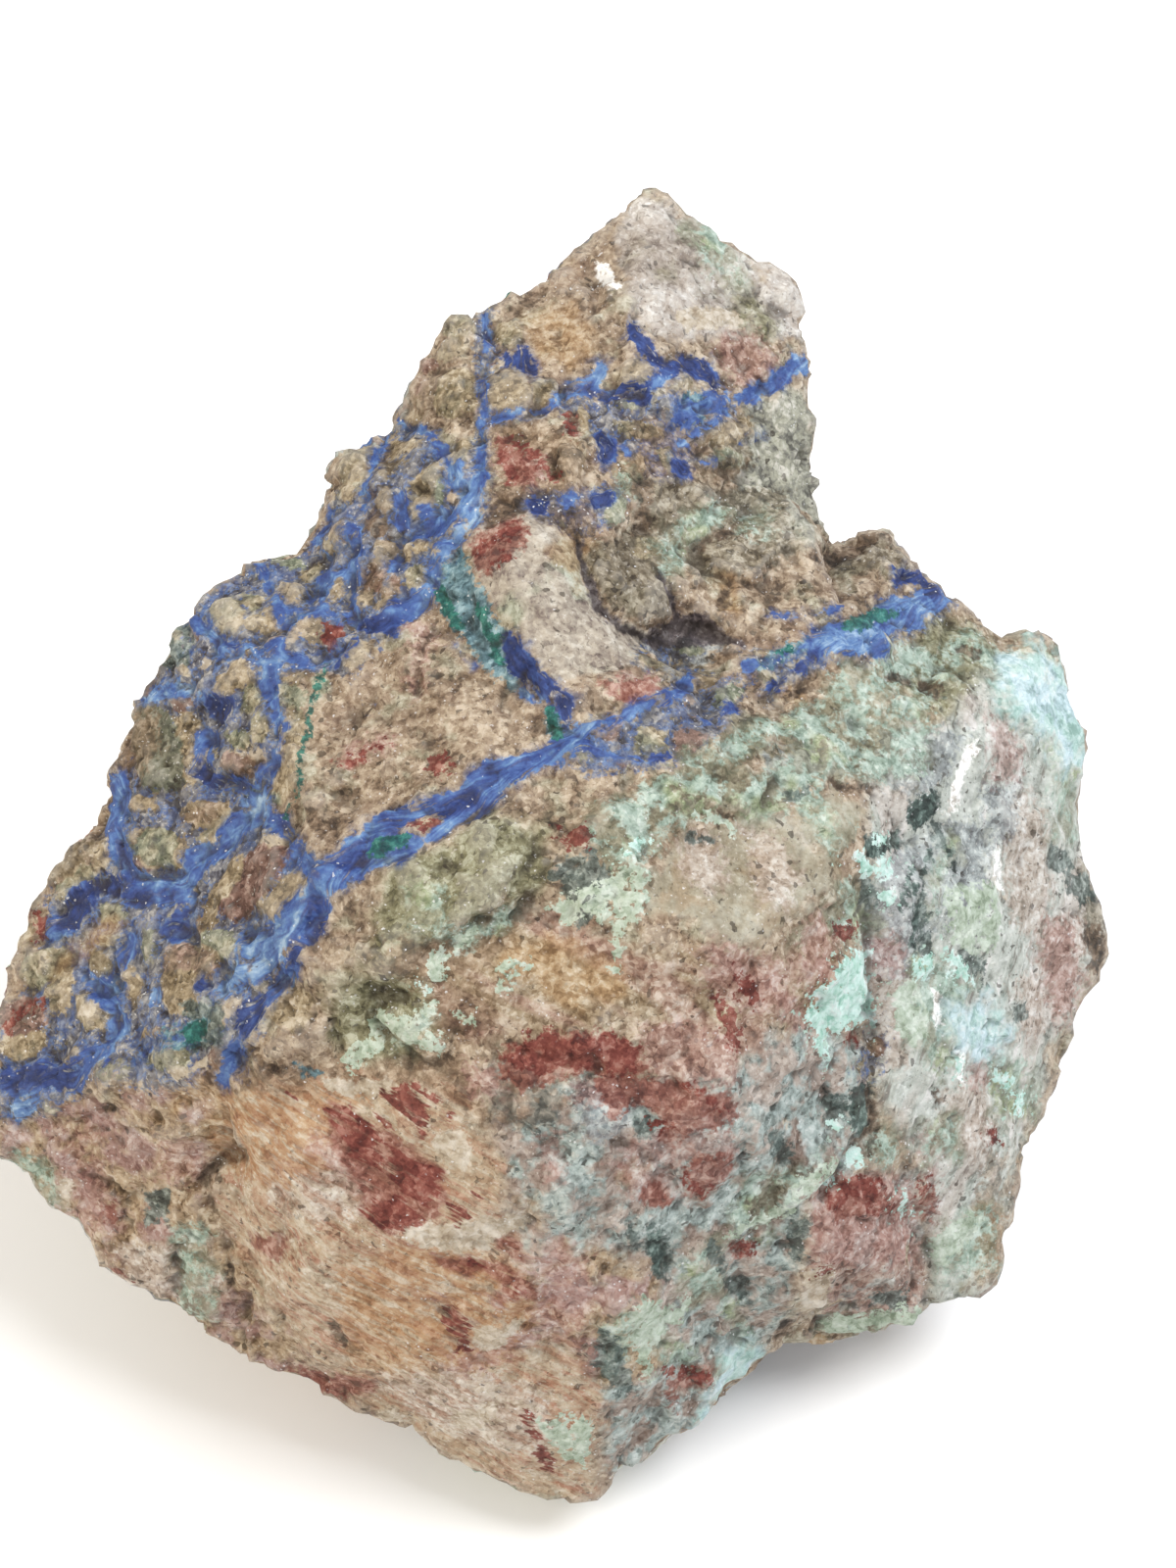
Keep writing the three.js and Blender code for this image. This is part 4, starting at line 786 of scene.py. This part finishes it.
low, high = (np.array(corner) * 1000 for corner in cad_box)
INSET = 0.02
shaped = np.clip(skin + outward * relief[:, None], low + INSET, high - INSET)
FOOT_HEIGHT = 0.6  # below this the flat that the stone rests on takes over
settle = step(0.05, FOOT_HEIGHT, skin[:, 2])
shaped[:, 2] = np.where(skin[:, 2] < FOOT_HEIGHT, shaped[:, 2] * settle, shaped[:, 2])
shaped[:, 2] = np.maximum(shaped[:, 2], low[2])
stone.data.vertices.foreach_set("co", (shaped / 1000).astype(np.float32).ravel())
stone.data.update()
bpy.ops.object.shade_smooth()

# The hollows are darkened as dirt and painted shade, and the high points are made paler as wear and painted
# highlight: how far each place lies below its neighbours.
ends = np.empty(len(stone.data.edges) * 2, np.int32)
stone.data.edges.foreach_get("vertices", ends)
ends = np.concatenate([ends.reshape(-1, 2), ends.reshape(-1, 2)[:, ::-1]])
joined = np.bincount(ends[:, 0], minlength=count)


def spread(values, rounds):
    for _ in range(rounds):
        values = 0.5 * values + 0.5 * np.bincount(ends[:, 0], values[ends[:, 1]], count) / joined
    return values


def below_neighbours(rounds):
    level = np.stack([spread(shaped[:, k], rounds) for k in range(3)], 1)
    return ((level - shaped) * outward).sum(1)


hollow = np.clip(1.6 * below_neighbours(6) + 0.7 * below_neighbours(40), -1, 1)

fields = {
    "azurite": azurite, "azurite_tone": azurite_tone, "strand": strand, "malachite": malachite,
    "teal": teal, "sage": sage, "white": white, "blush": blush, "lilac": lilac, "drab": drab,
    "crevice_shade": crevice_shade, "orange": orange, "mint": mint, "turquoise": turquoise, "wash": wash,
    "hematite": hematite, "rust": rust, "pink": pink, "ochre": ochre, "cream": cream, "slate_and_shade": slate_and_shade,
    "pitch_and_shade": pitch_and_shade, "umber": umber, "brown": brown, "net": net, "olive": olive, "quartz": quartz,
    "slab": slab, "pale": pale, "grey": grey, "striated": striated, "front": front, "foot": foot,
    "crystal": crystal, "fibre": fibre, "glassy": glassy, "piece": piece, "piece_red": piece_red,
    "piece_light": piece_light, "hollow": hollow,
}
DEEPEST, FARTHEST = -6, 12  # millimetres worth keeping
for name, values in fields.items():
    kept = stone.data.attributes.new(name, "FLOAT", "POINT")
    kept.data.foreach_set("value", np.clip(values, DEEPEST, FARTHEST).astype(np.float32))

# ------------------------------------------------------------------------------------------------
# THE STONE: ITS MINERALS
# Tan breccia, olive and pink-grey fronts and a fibrous right face, stained by iron, crusted in mint
# green and cut by azurite. Each field says how far a place is from that mineral's edge.
# ------------------------------------------------------------------------------------------------
ore = bpy.data.materials.new("ore")
ore.use_nodes = True
web = ore.node_tree
web.nodes.clear()


def put(kind, values=None, **settings):
    made = web.nodes.new(kind)
    for name, value in settings.items():
        setattr(made, name, value)
    for socket, value in (values or {}).items():
        if isinstance(value, bpy.types.NodeSocket):
            web.links.new(value, made.inputs[socket])
        else:
            made.inputs[socket].default_value = value
    return made


BRIGHTNESS = 0.70  # of every tone, under this light


def tone(code):
    channels = [int(code[k:k + 2], 16) / 255 for k in (1, 3, 5)]
    linear = [c / 12.92 if c < 0.04045 else ((c + 0.055) / 1.055) ** 2.4 for c in channels]
    return [c * BRIGHTNESS for c in linear] + [1.0]


def field(name):
    return put("ShaderNodeAttribute", attribute_name=name).outputs["Fac"]


def calc(operation, a, b=0.0, c=0.0):
    return put("ShaderNodeMath", {0: a, 1: b, 2: c}, operation=operation).outputs[0]


def mixed(shift, *shares):
    """Some noises, each times its share, plus a shift that keeps their sum about 0.5."""
    total = shift
    for value, share in shares:
        total = calc("MULTIPLY_ADD", value, share, total)
    return total


TONE_PLACES = (0.21, 0.37, 0.5, 0.63, 0.79)


def tones(value, codes):
    """Five tones of one mineral, darkest first, taken up by a mottle that is mostly near 0.5."""
    made = put("ShaderNodeValToRGB", {"Fac": value})
    steps = made.color_ramp.elements
    while len(steps) < len(TONE_PLACES):
        steps.new(0.5)
    for element, position, code in zip(steps, TONE_PLACES, codes.split()):
        element.position = position
        element.color = tone(code)
    return made.outputs["Color"]


def between(low, high, value):
    """0 below low, 1 above high."""
    return put("ShaderNodeMapRange", {"Value": value, "From Min": low, "From Max": high},
               interpolation_type="SMOOTHSTEP").outputs["Result"]


def over(share, below, above):
    return put("ShaderNodeMix", {0: share, 6: below, 7: above}, data_type="RGBA").outputs[2]


def part_of(mask, share):
    return mask if share == 1 else calc("MULTIPLY", mask, share)


def both(mask, other):
    return calc("MULTIPLY", mask, other)


def inside(name, ragged, edges, soft, shift=0.0):
    """1 inside the mineral's edge, 0 outside; the edge is ragged by that many millimetres."""
    wobble = calc("MULTIPLY_ADD", edges, ragged * 4, -ragged * 2 + shift)
    return between(soft / 2, -soft / 2, calc("ADD", field(name), wobble))


def vector(operation, values, output="Vector"):
    return put("ShaderNodeVectorMath", values, operation=operation).outputs[output]


millimetres = vector("SCALE", {0: put("ShaderNodeTexCoord").outputs["Object"], 3: 1000.0})


def fine(scale, detail=3.0, roughness=0.6, vector=None):
    return put("ShaderNodeTexNoise", {"Vector": vector or millimetres, "Scale": scale, "Detail": detail,
                                      "Roughness": roughness}).outputs["Fac"]


def drawn_out(run, stretch):
    """The place, squeezed along a run so that noise is drawn out along it."""
    run = np.array(run, float)
    run /= np.linalg.norm(run)
    along = vector("DOT_PRODUCT", {0: millimetres, 1: list(run)}, "Value")
    lift = vector("SCALE", {0: list(run), 3: calc("MULTIPLY", along, stretch - 1)})
    return vector("ADD", {0: millimetres, 1: lift})


def grains(scale):
    """Crystal grains: how light each is, another number for each, and their tilted faces as heights."""
    grain_cells = put("ShaderNodeTexVoronoi", {"Vector": warped, "Scale": scale}).outputs
    numbers = put("ShaderNodeSeparateColor", {0: grain_cells["Color"]}).outputs
    away = vector("SUBTRACT", {0: warped, 1: grain_cells["Position"]})
    lean = vector("SUBTRACT", {0: grain_cells["Color"], 1: (0.5, 0.5, 0.5)})
    return numbers[0], numbers[1], vector("DOT_PRODUCT", {0: away, 1: lean}, "Value")


fibres = drawn_out(fibre_run, 0.16)
slicks = drawn_out(slick_run, 0.14)
warp = put("ShaderNodeTexNoise", {"Vector": millimetres, "Scale": 0.9, "Detail": 1.0}).outputs["Color"]
warped = vector("ADD", {0: millimetres, 1: warp})
crumb, crumb_2, crumb_face = grains(0.95)
grit, grit_2, grit_face = grains(2.3)
grain = fine(1.25, 4.0, 0.68)
coarse = fine(0.42)
cloud = fine(0.13, 3.0, 0.55)
hue = fine(0.24)
hue_2 = fine(0.34, 3.0, 0.65)
edge = fine(1.5, 3.0, 0.65)
edge_slick = fine(0.9, 3.0, 0.7, slicks)
edge_fibre = fine(0.8, 3.0, 0.65, fibres)
hatching = fine(2.2, 2.0, 0.6, drawn_out(slick_run, 0.08))
slick_bands = fine(0.33, 3.0, 0.6, slicks)

mottle = mixed(-0.59, (coarse, 0.8), (grain, 0.95), (grit, 0.24), (crumb, 0.20))
mottle_2 = mixed(-0.44, (cloud, 0.9), (grain, 0.6), (grit_2, 0.22), (crumb_2, 0.16))
hatch = mixed(-0.2, (mottle, 0.5), (fine(1.3, 3.0, 0.65, slicks), 0.35), (hatching, 0.55))
threads = mixed(-0.175, (mottle, 0.55), (fine(0.8, 3.0, 0.6, fibres), 0.8))
clear = mixed(-0.45, (grain, 0.7), (coarse, 0.4), (cloud, 0.8))

# The grounds.
cool = tones(mottle, "#626c68 #8e9a94 #a8b5b0 #bfcbc6 #dce5e1")
fawn = tones(mottle_2, "#6c564a #968478 #b0a094 #c6b8ac #e2d6cc")
chalk = tones(mottle, "#a8987e #c6b8a0 #d8ccb6 #e4dac8 #f0eadc")
glass = over(between(0.42, 0.6, slick_bands), tones(mottle, "#665038 #8c765a #a89478 #beac92 #dacdb8"),
             tones(mottle, "#765648 #9c7a68 #b49684 #c8b09e #dfcec0"))
foot_tone = over(part_of(between(0.5, 0.62, hue_2), 0.6),
                 tones(mottle, "#6c5850 #987668 #b09486 #c2ac9e #dacec4"), cool)
striped = over(between(0.45, 0.65, slick_bands), tones(hatch, "#8a6c52 #ad9174 #c2aa8e #d2bfa6 #e4d6c2"),
               tones(hatch, "#92785e #b59e86 #cbb8a0 #d9cab4 #eae0d0"))
rusty = both(between(0.50, 0.58, hatching), between(0.44, 0.54, slick_bands))
striped = over(part_of(rusty, 0.8), striped, tones(mottle, "#7e5038 #9c6a50 #b27e66 #c49a84 #d6bca8"))
chalky = both(between(0.47, 0.41, hatching), between(0.56, 0.48, slick_bands))
striped = over(part_of(chalky, 0.6), striped, chalk)
crystal_tone = over(between(0.44, 0.6, hue), tones(mottle, "#6c543a #967c60 #b29a7c #c6b094 #e0d0b8"),
                    tones(mottle_2, "#704a42 #98746a #b09086 #c8aea6 #e6d6d0"))
fibrous = over(part_of(between(0.50, 0.60, fine(0.2, 3.0, 0.6, fibres)), 0.7),
               tones(threads, "#7e857c #aeb3a9 #cacfc6 #dee2da #f4f7f2"),
               tones(threads, "#8a7a6e #bcaca2 #d6cac0 #e6dcd4 #f6f1ec"))
# pale streaks along the fibres: painted highlight streaks
fibrous = over(part_of(between(0.60, 0.66, edge_fibre), 0.6), fibrous, tone("#f2eeea"))
fibrous = over(part_of(between(0.39, 0.33, edge_fibre), 0.6), fibrous, tone("#7c6e66"))
quartz_tone = over(part_of(between(0.5, 0.62, hue), 0.6),
                   tones(clear, "#74664e #9b9078 #b1a892 #c4beaa #d8d6c6"),
                   tones(clear, "#78624a #a08868 #b49c7e #c6b498 #dacfbc"))
slab_tone = over(between(0.5, 0.62, cloud), tones(mottle, "#7e6e66 #a6998a #baae9e #cabfae #ded6c8"),
                 tones(mottle, "#6e7264 #9a9b86 #b0b29c #c4c7b4 #dadecc"))
on_slick = inside("striated", 2.0, coarse, 2.6)
layers = [  # where each lies, how much of it covers there, and its tones
    (between(0.48, 0.34, hue), 0.7, tones(mottle, "#565342 #827c64 #9e9a82 #b8b6a0 #d6d6c4")),
    (between(0.54, 0.68, hue), 0.6, tones(mottle_2, "#503a30 #826856 #a38974 #bda993 #dccdbc")),
    (inside("pale", 1.0, coarse, 1.6), 1, tones(mottle_2, "#84766c #ab9f93 #c5bab0 #d8d1c8 #f8f4ee")),
    (inside("grey", 1.0, coarse, 2.0), 1, tones(mottle, "#64625a #8d8c80 #a8a795 #bdbcab #e0dcd0")),
    (inside("olive", 1.2, coarse, 2.5), 1, tones(mottle, "#4e4a34 #757052 #908b6c #a9a78a #cacab2")),
    (inside("glassy", 1.2, coarse, 2.0), 1, glass),
    (inside("front", 1.6, coarse, 3.0), 1, over(between(0.42, 0.56, hue_2), fawn, cool)),
    (inside("foot", 1.0, coarse, 1.5), 1, foot_tone),
    (on_slick, 1, striped),
    (inside("crystal", 1.2, coarse, 2.0), 1, crystal_tone),
    (inside("fibre", 1.2, coarse, 2.5), 1, fibrous),
    (inside("quartz", 1.4, coarse, 1.4), 1, quartz_tone),
    (inside("slab", 0.8, coarse, 0.8), 1, slab_tone),
    (inside("drab", 1.0, edge, 1.0), 0.85, tones(mottle, "#3c3428 #615744 #7e7460 #9c927e #c2baa8")),
    (inside("blush", 1.2, edge, 1.4), 0.75, tones(mottle, "#84705f #b09c8c #c9b8aa #dbcfc4 #f4efe8")),
    (inside("lilac", 1.2, edge, 1.2), 0.75, tones(mottle, "#5a5e62 #82888c #9fa6a8 #bac2c2 #dce4e2")),
]

# The net round the rock pieces, the pieces, a dark rim round each, and sparse dark and pale flecks.
net_tone = over(part_of(between(0.50, 0.60, hue_2), 0.65),
                tones(mottle, "#303039 #4e505e #6a6e7c #8e9096 #bcbab8"),
                tones(grain, "#283a60 #40568a #5a72a2 #8094b8 #b4c2d4"))
thread = between(0.045, 0.0, calc("ABSOLUTE", calc("SUBTRACT", fine(0.5, 3.0, 0.65), 0.5)))
net_tone = over(part_of(thread, 0.8), net_tone, tones(grain, "#22386a #345494 #4870b0 #6c92c8 #a6c4e4"))
redness = calc("MULTIPLY_ADD", coarse, 0.5, calc("SUBTRACT", field("piece_red"), 0.25))
piece_tone = over(between(0.1, 0.4, redness), tones(mottle, "#42463a #666c58 #828872 #a2a68e #c8cab6"),
                  tones(mottle, "#524430 #7e6c50 #9c8a6c #b8a688 #dccfb6"))
piece_tone = over(between(0.55, 0.85, redness), piece_tone,
                  tones(mottle, "#3e2822 #604238 #7a5a4e #98786c #c6aa9c"))
paleness = field("piece_light")
piece_tone = over(part_of(between(0.0, 1.0, paleness), 0.6), piece_tone, tone("#d8ccbc"))
piece_tone = over(part_of(between(0.0, -1.0, paleness), 0.7), piece_tone, tone("#3c3028"))
rim = calc("SUBTRACT", 1.0, between(0.0, 0.22, calc("ABSOLUTE", calc("ADD", field("piece"), -0.12))))
flecks = fine(2.2)
layers += [
    (inside("net", 1.2, edge, 0.8), 0.9, net_tone),
    (inside("piece", 0.35, edge, 0.22), 1, piece_tone),
    (rim, 0.3, tone("#4a443e")),
    (between(0.972, 0.98, grit_2), 0.65, tone("#33271c")),
    (between(0.38, 0.31, flecks), 0.6, tone("#3c2e22")),
    (between(0.63, 0.70, flecks), 0.45, tone("#f0e8dc")),
]

# High points are made paler as wear and painted highlight; then stains and crusts. On the striated face they
# lie in strokes.
depth_for_dirt_and_shade = field("hollow")
off_slick = calc("SUBTRACT", 1.0, on_slick)
strokes = mixed(0.0, (edge, 0.3), (fine(0.9, 3.0, 0.65, drawn_out(slick_run, 0.16)), 0.7))
stain_edge = calc("MULTIPLY_ADD", calc("SUBTRACT", edge_slick, edge), part_of(on_slick, 0.8), edge)
slate_edge = mixed(0.0, (edge, 0.75), (edge_fibre, 0.25))
rust_cover = both(inside("rust", 0.8, stain_edge, 0.7),
                  calc("MAXIMUM", between(0.24, 0.42, hatching), off_slick))
red_middle = part_of(inside("hematite", 0.3, edge, 0.6, 0.5), 0.85)
red_cover = calc("MAXIMUM", between(0.36, 0.44, hatching), red_middle)
red_cover = calc("MAXIMUM", red_cover, part_of(off_slick, 0.9))
wash_drift = mixed(-0.2, (edge, 0.5), (hue_2, 0.9))
wash_tone = over(between(0.52, 0.66, fine(0.2, 2.0)),
                 tones(mottle, "#788c7c #9db2a2 #b4c8ba #c8dacc #e2f0e6"),
                 tones(mottle, "#74805c #97a37c #b0b994 #c6ceae #e0e6d0"))
turquoise_tone = over(between(0.42, 0.58, hue_2), tones(mottle, "#98bcb2 #b8dad2 #cceae4 #dcf5f0 #f0fefc"),
                      tones(mottle, "#a2bcbe #c2dce0 #d6eef4 #e4f8fe #f4ffff"))
crust = fine(1.1)
layers += [
    # paler high points: wear and painted highlight
    (between(-0.1, -0.8, depth_for_dirt_and_shade), 0.16, tone("#f2ece2")),
    (inside("ochre", 1.0, coarse, 1.6), 0.6, tones(mottle, "#84623e #a8845a #c09c70 #d0b48e #e4d2b6")),
    (both(inside("orange", 1.6, edge_slick, 1.6), between(0.36, 0.52, hatching)), 0.85,
     tones(hatch, "#7c4e32 #a2744e #bc8f68 #cba985 #e0caae")),
    (both(on_slick, between(0.52, 0.57, strokes)), 0.5,
     tones(mottle, "#744634 #98664c #b07e62 #c49c80 #d8baa2")),
    (both(on_slick, between(0.47, 0.42, strokes)), 0.5, chalk),
    (inside("umber", 1.4, edge, 1.6), 0.6, tones(mottle, "#402f20 #5f4935 #7a5f45 #997d62 #c0a78d")),
    (inside("pink", 1.2, edge, 1.6), 0.6, tones(mottle, "#6e4640 #9a6c62 #b58a80 #caa8a0 #e4d0ca")),
    (rust_cover, 0.85, tones(mottle, "#5a2c24 #7a4034 #925a4c #ac7a6c #cca698")),
    (inside("cream", 0.5, edge, 0.4), 0.9, tones(mottle, "#a08e76 #c0b098 #d0c3ae #ded3c2 #eee6d8")),
    (inside("wash", 1.6, coarse, 2.0), 0.7, tones(mottle_2, "#484a38 #70725a #8e9078 #acae98 #d0d2c2")),
    (both(inside("wash", 1.6, edge, 1.2), between(0.42, 0.54, wash_drift)), 0.9, wash_tone),
    # slate-grey: partly slaty rock, partly painted shade
    (inside("slate_and_shade", 0.8, slate_edge, 0.4), 0.85, tones(mottle, "#26302e #43514c #606e69 #84918b #b2bdb7")),
    # green-black: partly dark rock, partly painted shade
    (inside("pitch_and_shade", 0.6, slate_edge, 0.3), 0.9, tones(mottle, "#1a2422 #303e3a #455650 #637770 #96a9a1")),
    # white: partly calcite, partly painted highlight, at a fixed brightness
    (inside("white", 0.35, edge, 0.3), 0.9,
     over(between(0.3, 0.5, mottle), tone("#d8d0c6"), (0.92, 0.91, 0.88, 1.0))),
    # dark brown in hollows: partly stain, partly painted shade
    (inside("brown", 0.5, edge, 0.5), 0.8, tones(mottle, "#241a14 #3e3026 #5c4838 #78604c #a08a74")),
    # painted shade in the crevice
    (inside("crevice_shade", 0.3, edge, 0.4), 0.9, tones(mottle, "#241d22 #3a3238 #544a4f #746a6c #a49c9e")),
    (both(inside("hematite", 1.0, stain_edge, 0.25), red_cover), 0.95,
     tones(mottle, "#501e18 #6c2e26 #803f36 #965448 #b67f72")),
    (both(inside("mint", 2.0, coarse, 1.0, -1.0), between(0.60, 0.64, fine(1.6))), 1, tone("#c2dccc")),
    (both(inside("sage", 0.8, edge, 0.16), between(0.36, 0.40, crust)), 1,
     tones(mottle, "#8c9c84 #aebca6 #c2d0bc #d2dece #e6f0e2")),
    (inside("turquoise", 1.8, coarse, 2.4), 0.95, turquoise_tone),
    (both(inside("mint", 0.9, edge, 0.14), between(0.33, 0.37, crust)), 1,
     tones(mottle, "#92c2b0 #bae0d0 #d2f2e8 #e2faf2 #f6fffc")),
    (inside("teal", 0.7, edge, 0.5), 0.85, tones(mottle, "#244650 #3c6672 #568290 #74a0ae #a2c6d0")),
]

# Azurite runs in strands along the veins, with greyer rock between them, and malachite beside it. Then
# dirt and painted shade in the hollows, and a few painted glints.
across = vector("SCALE", {0: (3.4, 2.6, 1.8), 3: field("strand")})
along_vein = vector("ADD", {0: millimetres, 1: across})
strands = fine(0.5, 2.0, 0.55, along_vein)
blue_mix = mixed(-0.175, (mottle, 0.25), (coarse, 0.35), (strands, 0.75), (field("azurite_tone"), 0.11))
core = inside("azurite", 0.2, edge, 0.4, 0.55)
vein_edge = mixed(0.0, (edge, 0.4), (coarse, 0.6))
blue_cover = both(inside("azurite", 0.9, vein_edge, 0.28),
                  calc("MAXIMUM", between(0.36, 0.44, strands), part_of(core, 0.85)))
# Glints: rare white specks painted into the colour as painted highlight, with lower roughness there.
glint = put("ShaderNodeTexVoronoi", {"Vector": millimetres, "Scale": 6.5}).outputs["Color"]
glint = between(0.988, 0.992, put("ShaderNodeSeparateColor", {0: glint}).outputs[0])
glint = both(glint, between(0.46, 0.62, hue))
layers += [
    (inside("azurite", 0.9, coarse, 1.2, -0.2), 0.65, net_tone),
    (blue_cover, 1, tones(blue_mix, "#202e60 #34498a #4a67a6 #6e93c6 #b2cee8")),
    (inside("malachite", 0.4, edge, 0.2), 0.9, tones(grain, "#06302c #104844 #1e645a #409080 #80beb0")),
    # darker hollows: dirt and painted shade
    (between(0.08, 0.75, depth_for_dirt_and_shade), 0.60, tone("#2e241b")),
    # painted glints
    (glint, 0.7, tone("#ffffff")),
]
ground = tones(mottle, "#5a4838 #87715b #a48f78 #beab93 #dccbb5")  # tan breccia
for mask, share, colour in layers:
    ground = over(part_of(mask, share), ground, colour)

bumps = mixed(0.0, (grit_face, 1.4), (crumb_face, 0.9), (grain, 0.5))
BUMP_HEIGHT = 0.00035  # metres
bumped = put("ShaderNodeBump", {"Strength": 0.8, "Distance": BUMP_HEIGHT, "Height": bumps}).outputs["Normal"]
roughness = mixed(0.78, (glint, -0.5), (blue_cover, -0.18))
skin_shader = put("ShaderNodeBsdfPrincipled", {"Base Color": ground, "Roughness": roughness,
                                               "Normal": bumped, "Specular IOR Level": 0.35})
put("ShaderNodeOutputMaterial", {"Surface": skin_shader.outputs[0]})
stone.data.materials.append(ore)
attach(stone, "root")
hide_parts("azurite_malachite_stone")
bpy.ops.object.select_all(action="DESELECT")

# ------------------------------------------------------------------------------------------------
# THE STAGE: FLOOR, LIGHT AND CAMERA
# A near-white sheet under soft light: a broad cool light from the upper right, a warm one from the left.
# ------------------------------------------------------------------------------------------------
bpy.ops.mesh.primitive_plane_add(size=6.0, location=(0, 0, 0))
floor = bpy.context.object
floor.name = "floor"
paper = bpy.data.materials.new("paper")
paper.use_nodes = True
sheet = paper.node_tree.nodes["Principled BSDF"].inputs
sheet["Base Color"].default_value = (0.88, 0.88, 0.88, 1)
sheet["Roughness"].default_value = 0.9
floor.data.materials.append(paper)

world = bpy.data.worlds.new("soft sky")
bpy.context.scene.world = world
world.use_nodes = True
sky = world.node_tree.nodes["Background"].inputs
sky["Color"].default_value = (0.96, 0.97, 1.0, 1)
sky["Strength"].default_value = 0.68
lit_middle = Vector((0, 0, 0.03))
for name, place_at, size, power, colour in (
    ("key", (0.34, 0.05, 0.66), 0.40, 4.7, (0.95, 0.97, 1.0)),
    ("fill", (-0.50, -0.20, 0.45), 0.5, 2.8, (1.0, 0.87, 0.66)),
):
    lamp = bpy.data.objects.new(name, bpy.data.lights.new(name, "AREA"))
    lamp.data.shape = "DISK"
    lamp.data.size = size
    lamp.data.energy = power
    lamp.data.color = colour
    lamp.location = place_at
    lamp.rotation_euler = (lit_middle - Vector(place_at)).to_track_quat("-Z", "Y").to_euler()
    bpy.context.scene.collection.objects.link(lamp)

camera = bpy.data.objects.new("show camera", bpy.data.cameras.new("show camera"))
camera.data.lens = LENS
camera.data.sensor_width = SENSOR
camera.data.clip_start = 0.01
camera.location = Vector(eye / 1000)
camera.rotation_euler = Vector(sheet_out).to_track_quat("Z", "Y").to_euler()
camera.data.dof.use_dof = False
bpy.context.scene.collection.objects.link(camera)
bpy.context.scene.camera = camera
bpy.context.scene.view_settings.view_transform = "Standard"
